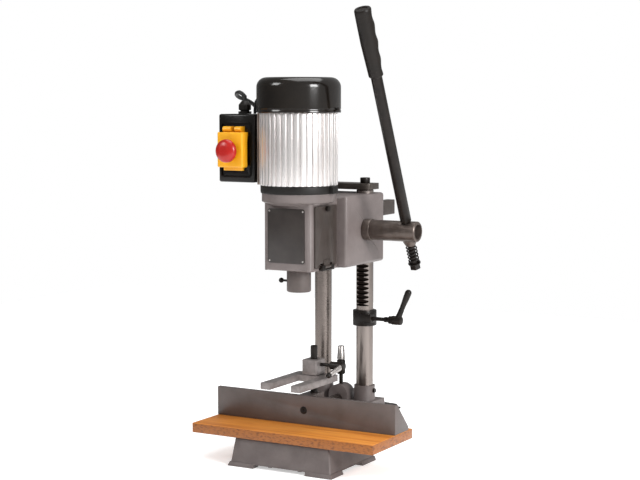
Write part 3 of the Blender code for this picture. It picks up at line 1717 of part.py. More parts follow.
hub = turned(
    "feed_hub",
    [
        (0, HUB_OUTER_X),
        (HUB_R - COLUMN_CHAMFER, HUB_OUTER_X),
        (HUB_R, HUB_OUTER_X - COLUMN_CHAMFER),
        (HUB_R, HUB_INNER_X),
        (SHAFT_R + GAP, HUB_INNER_X),
        (SHAFT_R + GAP, SHAFT_OUTER_X - OVER),
        (0, SHAFT_OUTER_X - OVER),
    ],
    (0, PINION_Y, PINION_Z),
    "dark_steel",
    ROUND_SIDES,
    (1, 0, 0),
)
turned(
    "feed_hub_collar",
    [
        (COLLAR_R, HUB_INNER_X - GAP),
        (COLLAR_R, HOUSING_HALF + GAP),
        (SHAFT_R + GAP, HOUSING_HALF + GAP),
        (SHAFT_R + GAP, HUB_INNER_X - GAP),
    ],
    (0, PINION_Y, PINION_Z),
    "dark_steel",
    ROUND_SIDES,
    (1, 0, 0),
)

# Lever: rod with its thinner shank through the hub, moulded grip, and below the hub the
# tapered bushing, spring, washer and nut that pull it home.
bushing_top = -HUB_R - GAP
bushing_low = bushing_top - BUSHING_H
nut_low = LEVER_SHANK_LOW + GAP
nut_high = nut_low + NUT_H
washer_high = nut_high + WASHER_H


def on_lever(name, profile, look, sides=SMALL_SIDES):
    return turned(name, profile, hub_centre, look, sides, lever_way)


on_lever(
    "lever_rod",
    [
        (0, LEVER_ROD_TOP),
        (LEVER_SHANK_R, LEVER_ROD_TOP),
        (LEVER_SHANK_R, GRIP_LOW + GAP),
        (LEVER_ROD_R, GRIP_LOW - GAP),
        (LEVER_ROD_R, HUB_R + GAP),
        (LEVER_SHANK_R, HUB_R + GAP),
        (LEVER_SHANK_R, LEVER_SHANK_LOW),
        (0, LEVER_SHANK_LOW),
    ],
    "dark_steel",
    24,
)
grip_profile = [(0, GRIP_HIGH)]
grip_steps = 6 * GRIP_WAVES
for number in range(grip_steps + 1):
    share = 1 - number / grip_steps
    radius = GRIP_LOW_R + (GRIP_TOP_R - GRIP_LOW_R) * min(1, 2 * share)
    radius -= GRIP_WAVE * (1 - math.cos(math.tau * GRIP_WAVES * share)) / 2
    grip_profile.append((radius, GRIP_LOW + GAP + (GRIP_HIGH - GRIP_LOW) * share - GAP * share))
grip_profile += [
    (LEVER_SHANK_R + GAP, GRIP_LOW + GAP),
    (LEVER_SHANK_R + GAP, LEVER_ROD_TOP + GAP),
    (0, LEVER_ROD_TOP + GAP),
]
on_lever("lever_grip", grip_profile, "black_plastic")
join(
    hub,
    on_lever(
        "lever_seat",
        [
            (0, bushing_top + BUSHING_H / 2),
            (BUSHING_TOP_R, bushing_top + BUSHING_H / 2),
            (BUSHING_TOP_R, bushing_top),
            (BUSHING_LOW_R, bushing_low),
            (0, bushing_low),
        ],
        None,
    ),
)
cut(
    hub,
    rod(
        "hub_inside",
        (SHAFT_OUTER_X - 2 * OVER, PINION_Y, PINION_Z),
        (HUB_OUTER_X + OVER, PINION_Y, PINION_Z),
        HUB_BORE_R,
    ),
    rod("shank_way", along(-3 * HUB_R), along(2 * HUB_R), LEVER_SHANK_R + GAP),
)
nut = on_lever(
    "lever_nut",
    [(0, nut_high + WASHER_H / 2), (NUT_R, nut_high + WASHER_H / 2), (NUT_R, nut_low), (0, nut_low)],
    "dark_steel",
    6,
)
join(
    nut,
    on_lever(
        "nut_flange",
        [(0, washer_high), (WASHER_R, washer_high), (WASHER_R, nut_high), (0, nut_high)],
        None,
    ),
)
cut(nut, rod("nut_bore", along(LEVER_SHANK_LOW - OVER), along(0), LEVER_SHANK_R + GAP))
spring_low = washer_high + GAP + SPRING_WIRE
spring_high = bushing_low - GAP - SPRING_WIRE
spring_points = []
across = Vector((1, 0, 0))
beside = lever_way.cross(across)
for number in range(SPRING_CURLS * 10 + 1):
    turn = math.tau * number / 10
    height = spring_low + (spring_high - spring_low) * number / (SPRING_CURLS * 10)
    spring_points.append(along(height) + across * SPRING_R * math.cos(turn) + beside * SPRING_R * math.sin(turn))
tube("lever_spring", spring_points, SPRING_WIRE, "polished_steel", 1)
print(
    "spring: least gap between curls (mm)",
    round(((spring_high - spring_low) / SPRING_CURLS - 2 * SPRING_WIRE) * 1000, 2),
)

# Switch: black box on the motor's pad, bezel with the start button, and the yellow flap
# with the red stop knob, hung from two lugs above.
switch_box = box(
    "switch_box",
    (BOX_LEFT, BOX_FRONT, BOX_LOW),
    (BOX_RIGHT, BOX_BACK, BOX_HIGH),
    "black_plastic",
    BOX_EDGE,
    2,
)
bezel = box(
    "switch_bezel",
    (BEZEL_LEFT, BOX_FRONT - GAP - BEZEL_THICK, BEZEL_LOW),
    (BEZEL_RIGHT, BOX_FRONT - GAP, BEZEL_HIGH),
    "yellow_plastic",
)
bezel_front = BOX_FRONT - GAP - BEZEL_THICK
pin_y = bezel_front - FLAP_LUG_R - GAP
for left in (BEZEL_LEFT + FLAP_LUG_IN, BEZEL_RIGHT - FLAP_LUG_IN - FLAP_LUG_LONG):
    join(
        bezel,
        box(
            "bezel_lug",
            (left, pin_y, FLAP_PIN_Z - FLAP_LUG_R),
            (left + FLAP_LUG_LONG, bezel_front + BEZEL_THICK / 2, FLAP_PIN_Z + FLAP_LUG_R),
        ),
        rod(
            "bezel_barrel",
            (left, pin_y, FLAP_PIN_Z),
            (left + FLAP_LUG_LONG, pin_y, FLAP_PIN_Z),
            FLAP_LUG_R,
            sides=SMALL_SIDES,
        ),
    )
cut(
    bezel,
    rod(
        "flap_pin_way",
        (BEZEL_LEFT - OVER, pin_y, FLAP_PIN_Z),
        (BEZEL_RIGHT + OVER, pin_y, FLAP_PIN_Z),
        FLAP_PIN_R + GAP,
        sides=SMALL_SIDES,
    ),
    box(
        "start_way",
        (KNOB_X - START_HALF_X - GAP, bezel_front - OVER, START_Z - START_HALF_Z - GAP),
        (KNOB_X + START_HALF_X + GAP, BOX_FRONT + OVER, START_Z + START_HALF_Z + GAP),
    ),
)
start_back = BOX_FRONT + 2 * START_TRAVEL
cut(
    switch_box,
    box(
        "start_room",
        (KNOB_X - START_HALF_X - GAP, BOX_FRONT - OVER, START_Z - START_HALF_Z - GAP),
        (KNOB_X + START_HALF_X + GAP, start_back + START_TRAVEL + GAP, START_Z + START_HALF_Z + GAP),
    ),
)
box(
    "start_button",
    (KNOB_X - START_HALF_X, bezel_front - START_PROUD, START_Z - START_HALF_Z),
    (KNOB_X + START_HALF_X, start_back, START_Z + START_HALF_Z),
    "green_plastic",
)
flap_left = BEZEL_LEFT + BEZEL_ROOM
flap_right = BEZEL_RIGHT - BEZEL_ROOM
flap = box(
    "switch_flap",
    (flap_left, FLAP_FRONT, FLAP_LOW),
    (flap_right, bezel_front - GAP, FLAP_HIGH),
    "yellow_plastic",
    BOX_EDGE / 2,
)
cut(
    flap,
    box(
        "flap_inside",
        (flap_left + FLAP_WALL, FLAP_FRONT + FLAP_WALL, FLAP_LOW + FLAP_WALL),
        (flap_right - FLAP_WALL, bezel_front + OVER, FLAP_HIGH - FLAP_WALL),
    ),
)
middle_left = BEZEL_LEFT + FLAP_LUG_IN + FLAP_LUG_LONG + GAP
middle_right = BEZEL_RIGHT - FLAP_LUG_IN - FLAP_LUG_LONG - GAP
join(
    flap,
    rod(
        "flap_barrel",
        (middle_left, pin_y, FLAP_PIN_Z),
        (middle_right, pin_y, FLAP_PIN_Z),
        FLAP_LUG_R - GAP,
        sides=SMALL_SIDES,
    ),
    box(
        "flap_neck",
        (middle_left, pin_y - FLAP_LUG_R / 2, FLAP_HIGH - FLAP_WALL / 2),
        (middle_right, pin_y, FLAP_PIN_Z),
    ),
    rod(
        "flap_pin",
        (middle_left - FLAP_LUG_LONG, pin_y, FLAP_PIN_Z),
        (middle_right + FLAP_LUG_LONG, pin_y, FLAP_PIN_Z),
        FLAP_PIN_R,
        sides=SMALL_SIDES,
    ),
)
cut(
    flap,
    rod(
        "stop_way",
        (KNOB_X, FLAP_FRONT - OVER, KNOB_Z),
        (KNOB_X, FLAP_FRONT + FLAP_WALL + OVER, KNOB_Z),
        KNOB_STEM_R + GAP,
        sides=SMALL_SIDES,
    ),
)
# The knob's dome, its neck in front of the flap, and the stem with a head behind it.
neck_back = FLAP_FRONT - KNOB_TRAVEL - 2 * GAP
knob_back = KNOB_FRONT + KNOB_THICK
stem_end = FLAP_FRONT + FLAP_WALL + GAP
knob_profile = [(0, -KNOB_FRONT)]
for number in range(1, 5):
    turn = math.pi / 2 * (1 - number / 4)
    knob_profile.append(
        (
            KNOB_R * (1 / 4 + 3 / 4 * math.cos(turn)),
            -KNOB_FRONT - KNOB_THICK * 3 / 4 * (1 - math.sin(turn)),
        )
    )
knob_profile += [
    (KNOB_R, -knob_back),
    (KNOB_NECK_R, -knob_back),
    (KNOB_NECK_R, -neck_back),
    (KNOB_STEM_R, -neck_back),
    (KNOB_STEM_R, -stem_end),
    (KNOB_NECK_R, -stem_end),
    (KNOB_NECK_R, -stem_end - FLAP_WALL),
    (0, -stem_end - FLAP_WALL),
]
turned("stop_button", knob_profile, (KNOB_X, 0, KNOB_Z), "red_plastic", 24, (0, -1, 0))

# Cable gland on the box's top and the short lead from the box to the motor's cap.
gland_low = BOX_HIGH + GAP
turned(
    "cable_gland",
    [
        (CORD_R + 2 * GAP, gland_low + GLAND_H),
        (GLAND_R * 3 / 4, gland_low + GLAND_H),
        (GLAND_R, gland_low + GLAND_H * 3 / 4),
        (GLAND_R, gland_low + GLAND_NUT_H),
        (GLAND_R, gland_low),
        (CORD_R + 2 * GAP, gland_low),
    ],
    (GLAND_X, GLAND_Y, 0),
    "black_plastic",
    SMALL_SIDES,
)
lead_y = SPINDLE_Y
cap_touch = -CAP_R - GAP
lead_route = [
    (LEAD_X, lead_y, BOX_HIGH + GAP),
    (LEAD_X, lead_y, BOX_HIGH + GAP + 3 * LEAD_R),
    (LEAD_X + LEAD_R / 2, lead_y, LEAD_Z - 3 * LEAD_R),
    (LEAD_X + 2 * LEAD_R, lead_y, LEAD_Z - LEAD_R / 2),
    (cap_touch - LEAD_R, lead_y, LEAD_Z),
    (cap_touch, lead_y, LEAD_Z),
]
lead_points, _ = smooth_route(lead_route, 2 * LEAD_R)
tube("motor_lead", lead_points, LEAD_R, "cord_rubber", 2)

# Mains cord: up out of the gland, over to the left, back behind the motor, down behind
# the machine to a coil of two layers on the bench, and from the coil's end to the plug.
cord_start = Vector((GLAND_X, GLAND_Y, gland_low + GLAND_H + GAP))
coil_in_r = COIL_OUT_R - COIL_STEP * COIL_LOOPS_PER_LAYER


def coil_points():
    """Two flat spirals, the lower one inwards and the upper one outwards."""
    out = []
    total = COIL_LOOPS_PER_LAYER * LOOP_POINTS
    half = LOOP_POINTS // 2
    for number in range(total + 1):
        turn = math.tau * number / LOOP_POINTS
        out.append((turn, COIL_OUT_R - COIL_STEP * number / LOOP_POINTS, 0))
    for number in range(1, half + 1):
        share = number / half
        ease = share * share * (3 - 2 * share)
        out.append((math.tau * (total + number) / LOOP_POINTS, coil_in_r, ease))
    for number in range(1, total - half + 1):
        turn = math.tau * (total + half + number) / LOOP_POINTS
        out.append((turn, coil_in_r + COIL_STEP * number / LOOP_POINTS, 1))
    points = []
    for turn, r, layer in out:
        points.append(
            Vector(
                (
                    COIL_X + r * math.cos(turn),
                    COIL_Y + r * math.sin(turn),
                    CORD_R + layer * LAYER_STEP,
                )
            )
        )
    return points


loops = coil_points()
coil_first = (loops[0] - loops[1]).normalized()
coil_last = (loops[-1] - loops[-2]).normalized()
loops = [loops[0] + coil_first * 2 * CORD_R, *loops, loops[-1] + coil_last * 2 * CORD_R]
flat = np.array([tuple(p) for p in loops])
apart = np.linalg.norm(flat[:, None] - flat[None], axis=2)
order = np.abs(np.arange(len(flat))[:, None] - np.arange(len(flat))[None])
print("coil: least gap to itself (mm)", round((apart[order > LOOP_POINTS // 4].min() - 2 * CORD_R) * 1000, 2))
coil_run = sum((q - p).length for p, q in zip(loops, loops[1:]))

meet = loops[0] + coil_first * GAP
cord_route = [
    cord_start,
    cord_start + Vector((0, 0, 2 * CORD_R)),
    Vector((GLAND_X - 3 * CORD_R, GLAND_Y, cord_start.z + 4 * CORD_R)),
    Vector((BOX_LEFT - CORD_R, GLAND_Y + 6 * CORD_R, cord_start.z + 2 * CORD_R)),
    Vector((BOX_LEFT + 3 * CORD_R, SPINDLE_Y + MOTOR_R, cord_start.z - 6 * CORD_R)),
    Vector((-HOUSING_HALF - 6 * CORD_R, HEAD_STEP_Y + MOTOR_R, MOTOR_LOW)),
    Vector((-HOUSING_HALF - 4 * CORD_R, HOUSING_BACK + 4 * CORD_R, HEAD_BOTTOM + 4 * CORD_R)),
    Vector((-HOUSING_HALF - 3 * CORD_R, HOUSING_BACK + 5 * CORD_R, SOCKET_TOP + 6 * CORD_R)),
    Vector((-HOUSING_HALF - 3 * CORD_R, HOUSING_BACK + 6 * CORD_R, 8 * CORD_R)),
    meet + coil_first * 6 * CORD_R + Vector((0, 0, CORD_R / 2)),
    meet + coil_first * 2 * CORD_R,
    meet,
]
cord_points, cord_run = smooth_route(cord_route, 5 * CORD_R)
for point in cord_points:
    point.z = max(point.z, CORD_R)
tube("mains_cord", cord_points, CORD_R, "cord_rubber", 2)

# The coil's free end runs on straight, one tail to the plug that lies flat.
plug_way = Vector((coil_last.x, coil_last.y, 0)).normalized()
tail_long = CORD_LENGTH - cord_run - coil_run
tail_end = loops[-1] + plug_way * tail_long
tail_end.z = PLUG_THICK / 2
tail = [loops[-2], loops[-1], loops[-1].lerp(tail_end, 1 / 3), tail_end - plug_way * 2 * CORD_R, tail_end]
tail[2].z = loops[-1].z
tail_points, _ = smooth_route(tail, 5 * CORD_R)
tube("cord_coil", loops[:-2] + tail_points, CORD_R, "cord_rubber", 1)
plug_at = tail_end
side_way = Vector((0, 0, 1)).cross(plug_way)
plug_frame = Matrix.Translation(plug_at + plug_way * GAP) @ Matrix(
    ((plug_way.x, side_way.x, 0, 0), (plug_way.y, side_way.y, 0, 0), (0, 0, 1, 0), (0, 0, 0, 1))
)
plug = box(
    "mains_plug",
    (0, -PLUG_WIDE / 2, -PLUG_THICK / 2),
    (PLUG_LONG, PLUG_WIDE / 2, PLUG_THICK / 2),
    "black_plastic",
    PLUG_EDGE,
    2,
)
for low, high in (
    ((PLUG_LONG - PLUG_EDGE, -PIN_SPREAD - PIN_WIDE / 2), (PLUG_LONG + PIN_LONG, -PIN_SPREAD + PIN_WIDE / 2)),
    ((PLUG_LONG - PLUG_EDGE, PIN_SPREAD - PIN_WIDE / 2), (PLUG_LONG + PIN_LONG, PIN_SPREAD + PIN_WIDE / 2)),
):
    join(plug, box("plug_pin", (*low, -PIN_THICK / 2), (*high, PIN_THICK / 2)))
plug = settle(plug, "black_plastic")
for name in ("mains_plug",):
    old = bpy.data.objects[name]
    if old is not plug:
        bpy.data.objects.remove(old, do_unlink=True)
plug.name = "mains_plug"
plug.data.transform(plug_frame)

print("cord runs (m)", round(cord_run, 3), round(coil_run, 3), round(tail_long, 3))


# Joints: every moving piece hangs from an empty that stands on its joint's axis.
def pivot(name, spot, parent, pieces):
    empty = bpy.data.objects.new(name, None)
    PARTS.objects.link(empty)
    empty.location = spot
    bpy.context.view_layer.update()
    if parent:
        world = empty.matrix_world.copy()
        empty.parent = bpy.data.objects[parent]
        empty.matrix_parent_inverse = empty.parent.matrix_world.inverted()
        empty.matrix_world = world
        bpy.context.view_layer.update()
    for piece in pieces:
        thing = bpy.data.objects[piece]
        thing.parent = empty
        thing.matrix_parent_inverse = empty.matrix_world.inverted()
    return empty


pivot(
    "pivot_head",
    (0, COLUMN_Y, HEAD_BOTTOM),
    None,
    (
        "head_casting",
        "chisel_socket",
        "chisel_clamp_screw",
        "door_hinge",
        "rear_bracket",
        "rear_bracket_pin",
        "motor_flange",
        "motor_housing",
        "motor_end_shield",
        "motor_cap",
        "motor_cap_screw_left",
        "motor_cap_screw_right",
        "switch_box",
        "switch_bezel",
        "cable_gland",
        "motor_lead",
    ),
)
pivot(
    "pivot_spindle",
    (0, SPINDLE_Y, SPINDLE_LOW),
    "pivot_head",
    ("motor_shaft", "cooling_fan", "drill_chuck"),
)
pivot("pivot_pinion", (PINION_X, PINION_Y, PINION_Z), "pivot_head", ("pinion_shaft", "feed_hub_collar"))
pivot("pivot_hub", tuple(hub_centre), "pivot_pinion", ("feed_hub", "lever_spring"))
pivot("pivot_lever", tuple(hub_centre), "pivot_hub", ("lever_rod", "lever_grip", "lever_nut"))
pivot("pivot_door", (pin_x, door_mid, pin_z), "pivot_head", ("access_door", "door_knob"))
pivot("pivot_flap", (KNOB_X, pin_y, FLAP_PIN_Z), "pivot_head", ("switch_flap",))
pivot("pivot_stop", (KNOB_X, FLAP_FRONT, KNOB_Z), "pivot_flap", ("stop_button",))
pivot("pivot_start", (KNOB_X, bezel_front, START_Z), "pivot_head", ("start_button",))
pivot("pivot_fence", (0, 0, FENCE_BOLT_Z), None, ("fence_casting", "fence_bar", "fence_bolt", "hold_down_post"))
pivot(
    "pivot_fence_lock",
    (LOCK_X, LOCK_Y, LOCK_HUB_LOW),
    None,
    ("fence_lock_screw", "fence_lock_hub", "fence_lock_arm"),
)
pivot("pivot_hold_down", (POST_X, POST_Y, FORK_LOW), "pivot_fence", ("hold_down_fork", "hold_down_block"))
pivot(
    "pivot_hold_lock",
    (POST_X + HOLD_HUB_X, POST_Y, HOLD_SCREW_Z),
    "pivot_hold_down",
    ("hold_down_screw", "hold_down_lock_hub", "hold_down_lock_arm"),
)
pivot("pivot_depth", (COLUMN_X, COLUMN_Y, STOP_LOW), None, ("depth_collar",))
pivot(
    "pivot_depth_lock",
    (STOP_HUB_X, STOP_SCREW_Y, STOP_SCREW_Z),
    "pivot_depth",
    ("depth_lock_screw", "depth_lock_hub"),
)
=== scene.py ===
import json
import math

import bmesh
import bpy
import numpy as np
from mathutils import Matrix, Vector


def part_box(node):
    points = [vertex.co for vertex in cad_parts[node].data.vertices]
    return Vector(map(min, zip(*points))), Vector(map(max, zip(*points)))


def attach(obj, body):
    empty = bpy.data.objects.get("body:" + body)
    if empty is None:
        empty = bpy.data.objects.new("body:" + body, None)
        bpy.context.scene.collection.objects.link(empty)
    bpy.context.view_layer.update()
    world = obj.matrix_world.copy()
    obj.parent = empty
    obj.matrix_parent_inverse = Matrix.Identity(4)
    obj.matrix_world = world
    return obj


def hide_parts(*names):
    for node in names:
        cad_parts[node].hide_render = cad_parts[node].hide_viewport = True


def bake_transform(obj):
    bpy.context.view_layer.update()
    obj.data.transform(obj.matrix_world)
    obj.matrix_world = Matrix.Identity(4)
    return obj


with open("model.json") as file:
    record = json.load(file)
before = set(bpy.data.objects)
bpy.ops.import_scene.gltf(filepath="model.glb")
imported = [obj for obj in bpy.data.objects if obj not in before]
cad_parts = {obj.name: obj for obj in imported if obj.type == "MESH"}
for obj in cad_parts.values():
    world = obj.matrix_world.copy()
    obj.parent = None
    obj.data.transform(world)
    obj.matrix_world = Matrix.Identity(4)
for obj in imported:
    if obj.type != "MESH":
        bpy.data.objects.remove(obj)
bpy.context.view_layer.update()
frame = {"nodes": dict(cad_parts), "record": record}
bodies = frame["record"]["behaviour"]["bodies"]
body_of = {node: body for body, nodes in bodies.items() for node in nodes}
slot_of = {row["node"]: row["material_slot"] for row in frame["record"]["subparts"]}

# Camera.
# It stands to the machine's front right, a little above the motor's height, with a
# long lens, as the photograph was taken.
camera = bpy.data.objects.new("camera", bpy.data.cameras.new("camera"))
bpy.context.scene.collection.objects.link(camera)
camera.data.lens = 85.6
camera.data.sensor_width = 36
camera.data.clip_end = 50
camera.location = (1.2882, -2.2774, 0.6210)
camera.rotation_euler = (math.radians(90) - 0.0931, 0, 0.5163)
bpy.context.scene.camera = camera


# Studio.
# A pale floor and a white backdrop. Three soft boxes light the machine, from the front
# left, the right and above. The sky that its metals mirror is duller than the backdrop,
# and most of all at the left, so they show bright and dark bands.
def linear(hex_colour, alpha=1):
    """An sRGB hex colour as the shader's linear values."""
    values = [int(hex_colour[i : i + 2], 16) / 255 for i in (1, 3, 5)]
    return (*[v / 12.92 if v <= 0.04045 else ((v + 0.055) / 1.055) ** 2.4 for v in values], alpha)


def add(tree, kind, sockets=None, **settings):
    """One node with its settings. A socket takes a value, a link or a node's first output."""
    made = tree.nodes.new(kind)
    for key, value in settings.items():
        setattr(made, key, value)
    for key, value in (sockets or {}).items():
        if isinstance(value, bpy.types.Node):
            value = value.outputs[0]
        if isinstance(value, bpy.types.NodeSocket):
            tree.links.new(value, made.inputs[key])
        else:
            made.inputs[key].default_value = value
    return made


def ranged(tree, source, first, last, low, high):
    """The source's run from first to last as a run from low to high."""
    limits = {"From Min": first, "From Max": last, "To Min": low, "To Max": high}
    return add(tree, "ShaderNodeMapRange", {"Value": source, **limits}).outputs["Result"]


def into_object(name, bm):
    """A new object of that name with the mesh."""
    mesh = bpy.data.meshes.new(name)
    bm.to_mesh(mesh)
    bm.free()
    made = bpy.data.objects.new(name, mesh)
    bpy.context.scene.collection.objects.link(made)
    return made


bpy.context.scene.view_settings.view_transform = "Standard"
world = bpy.data.worlds.new("white_sky")
world.use_nodes = True
sky = world.node_tree
mirrored = sky.nodes["Background"]
mirrored.inputs["Color"].default_value = linear("#ffffff")
towards = add(sky, "ShaderNodeTexCoord")
side = add(sky, "ShaderNodeSeparateXYZ", {"Vector": towards.outputs["Generated"]})
duller = ranged(sky, side.outputs["X"], -0.9, 0.7, 0.16, 0.56)
sky.links.new(duller, mirrored.inputs["Strength"])
backdrop = add(sky, "ShaderNodeBackground", {"Color": linear("#ffffff"), "Strength": 1.0})
path = add(sky, "ShaderNodeLightPath")
choice = add(sky, "ShaderNodeMixShader", {0: path.outputs["Is Camera Ray"], 1: mirrored, 2: backdrop})
sky.links.new(choice.outputs[0], sky.nodes["World Output"].inputs["Surface"])
bpy.context.scene.world = world

for light_name, spot, aim, width, power in (
    ("front_light", (-1.9, -2.4, 2.3), (0, -0.05, 0.35), 1.2, 44),
    ("side_light", (2.6, -0.9, 1.4), (0, 0, 0.4), 1.0, 72),
    ("top_light", (0.2, 0.3, 2.8), (0, 0, 0.4), 2.0, 42),
):
    lamp = bpy.data.lights.new(light_name, "AREA")
    lamp.size = width
    lamp.energy = power
    lamp_object = bpy.data.objects.new(light_name, lamp)
    bpy.context.scene.collection.objects.link(lamp_object)
    lamp_object.location = spot
    lamp_object.rotation_euler = (Vector(aim) - Vector(spot)).to_track_quat("-Z", "Y").to_euler()

floor_bm = bmesh.new()
bmesh.ops.create_grid(floor_bm, x_segments=2, y_segments=2, size=1.8)
floor = into_object("floor", floor_bm)
floor.location.z = -0.0004
floor_finish = bpy.data.materials.new("pale_floor")
floor_finish.use_nodes = True
floor_shader = floor_finish.node_tree.nodes["Principled BSDF"]
for socket, value in (
    ("Base Color", linear("#f4f4f4")),
    ("Roughness", 0.9),
    ("Specular IOR Level", 0.1),
    ("Emission Color", linear("#ffffff")),
    ("Emission Strength", 0.45),
):
    floor_shader.inputs[socket].default_value = value
floor.data.materials.append(floor_finish)


# Mains lead.
# A black rubber lead, 7 mm round and 1.8 m long. It rises from the switch's gland,
# turns over to the left, hangs down behind the machine and ends in a coil and its plug.
def new_finish(name, colour, roughness, metallic=0.0):
    """A material, its tree, its shader and its Object coordinates."""
    made = bpy.data.materials.new(name)
    made.use_nodes = True
    tree = made.node_tree
    shader = tree.nodes["Principled BSDF"]
    shader.inputs["Base Color"].default_value = linear(colour)
    shader.inputs["Roughness"].default_value = roughness
    shader.inputs["Metallic"].default_value = metallic
    made.diffuse_color = linear(colour)
    coords = tree.nodes.new("ShaderNodeTexCoord").outputs["Object"]
    return made, tree, shader, coords


def noise(tree, coords, stretch, **values):
    """A noise pattern over the piece, drawn out where stretch is small."""
    where = add(tree, "ShaderNodeMapping", {"Vector": coords, "Scale": stretch})
    return add(tree, "ShaderNodeTexNoise", {"Vector": where, **values}).outputs["Fac"]


def ramp(tree, source, *stops):
    """Colours along source, each stop a position and a colour, the ends first."""
    made = add(tree, "ShaderNodeValToRGB", {"Fac": source})
    for i, (position, colour) in enumerate(stops):
        stop = made.color_ramp.elements[i] if i < 2 else made.color_ramp.elements.new(position)
        stop.position = position
        stop.color = linear(colour)
    return made.outputs["Color"]


def mottle(tree, shader, coords, dark, light, size_m, stretch=(1, 1, 1)):
    """Colour that drifts between two shades over size_m, stretched along one axis."""
    drift = noise(tree, coords, stretch, Scale=1 / size_m, Detail=5.0, Roughness=0.55)
    tree.links.new(ramp(tree, drift, (0.35, dark), (0.65, light)), shader.inputs["Base Color"])


def relief(tree, shader, height, depth_m, strength):
    """A bump that follows height."""
    bump = add(tree, "ShaderNodeBump", {"Height": height, "Distance": depth_m, "Strength": strength})
    tree.links.new(bump.outputs["Normal"], shader.inputs["Normal"])


def grain(tree, shader, coords, size_m, depth_m, strength=1.0, stretch=(1, 1, 1), detail=3.0):
    """A fine relief over the surface, with grains of size_m."""
    grains = noise(tree, coords, stretch, Scale=1 / size_m, Detail=detail)
    relief(tree, shader, grains, depth_m, strength)
    return grains


def uneven_gloss(tree, shader, source, low, high):
    """Roughness that follows a pattern between low and high."""
    tree.links.new(ranged(tree, source, 0.3, 0.7, low, high), shader.inputs["Roughness"])


def coated(name, colour, roughness, metallic=0.0, shades=(), grains=(), gloss=(), specular=None):
    """A finish whose colour drifts by shades, with a grained skin that is unevenly glossy."""
    made, tree, shader, coords = new_finish(name, colour, roughness, metallic)
    if specular is not None:
        shader.inputs["Specular IOR Level"].default_value = specular
    if shades:
        mottle(tree, shader, coords, *shades)
    if grains:
        pattern = grain(tree, shader, coords, *grains)
        if gloss:
            uneven_gloss(tree, shader, pattern, *gloss)
    return made


def smooth_route(points, spacing):
    """Points spaced evenly along a smooth curve through the route's own points."""
    route = [Vector(p) for p in points]
    ends = [2 * route[0] - route[1], *route, 2 * route[-1] - route[-2]]
    fine = []
    for i in range(1, len(ends) - 2):
        a, b, c, d = ends[i - 1 : i + 3]
        for k in range(24):
            t = k / 24
            line, curve, twist = c - a, 2 * a - 5 * b + 4 * c - d, 3 * b - a - 3 * c + d
            fine.append((2 * b + line * t + curve * t**2 + twist * t**3) / 2)
    fine.append(route[-1])
    runs = [0.0]
    for p, q in zip(fine, fine[1:]):
        runs.append(runs[-1] + (q - p).length)
    count = max(2, round(runs[-1] / spacing))
    out = []
    for k in range(count + 1):
        want = runs[-1] * k / count
        i = max(min(int(np.searchsorted(runs, want)), len(fine) - 1), 1)
        span = runs[i] - runs[i - 1]
        out.append(fine[i - 1].lerp(fine[i], 0 if span == 0 else (want - runs[i - 1]) / span))
    return out, runs[-1]


def outward(bm):
    """The mesh with its faces turned outwards."""
    bmesh.ops.recalc_face_normals(bm, faces=bm.faces)
    return bm


def bridge(bm, ring, other):
    """Faces between two rings with equally many points."""
    for k in range(len(ring)):
        j = (k + 1) % len(ring)
        bm.faces.new((ring[k], ring[j], other[j], other[k]))


def tube_bm(points, radius, sides=12):
    """A round tube along points, its rings turned as little as the path allows."""
    bm = bmesh.new()
    rings = []
    normal = None
    for i, p in enumerate(points):
        way = (points[min(i + 1, len(points) - 1)] - points[max(i - 1, 0)]).normalized()
        if normal is None:
            normal = way.orthogonal().normalized()
        normal = (normal - way * normal.dot(way)).normalized()
        side = way.cross(normal)
        ring = []
        for k in range(sides):
            turn = math.tau * k / sides
            ring.append(bm.verts.new(p + (normal * math.cos(turn) + side * math.sin(turn)) * radius))
        rings.append(ring)
    for a, b in zip(rings, rings[1:]):
        bridge(bm, a, b)
    bm.faces.new(list(reversed(rings[0])))
    bm.faces.new(rings[-1])
    return outward(bm)


def surface(piece, finish, sharp):
    """The finish, and smooth shading that stays crisp at edges over sharp degrees."""
    piece.data.materials.clear()
    piece.data.materials.append(finish)
    piece.data.shade_smooth()
    piece.data.set_sharp_from_angle(angle=math.radians(sharp))


# Where the lead passes the machine: the gland, the box's left, the motor's back, and the
# head's left side and back.
gland_x, gland_y = -0.102, -0.0865
box_left = -0.126
motor_y, motor_r = -0.080, 0.0650
head_left, head_back = -0.0624, 0.112
flange_z, head_foot_z, base_top_z = 0.4726, 0.334, 0.115
clear = 0.0003
cord_r, cord_length = 0.0035, 1.80
coil_x, coil_y, coil_r, coil_step, layer_step = -0.118, 0.218, 0.046, 0.0088, 0.0078
cord_start = Vector((gland_x, gland_y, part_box("cable_gland")[1].z + clear))


def coil_points():
    """Two flat spirals, the lower one inwards and the upper one outwards."""
    out = [(math.tau * n / 24, coil_r - coil_step * n / 24, 0) for n in range(49)]
    inner = coil_r - 2 * coil_step
    for n in range(1, 13):
        share = n / 12
        out.append((math.tau * (48 + n) / 24, inner, share * share * (3 - 2 * share)))
    out += [(math.tau * (60 + n) / 24, inner + coil_step * n / 24, 1) for n in range(1, 37)]
    return [
        Vector((coil_x + r * math.cos(t), coil_y + r * math.sin(t), cord_r + layer * layer_step))
        for t, r, layer in out
    ]


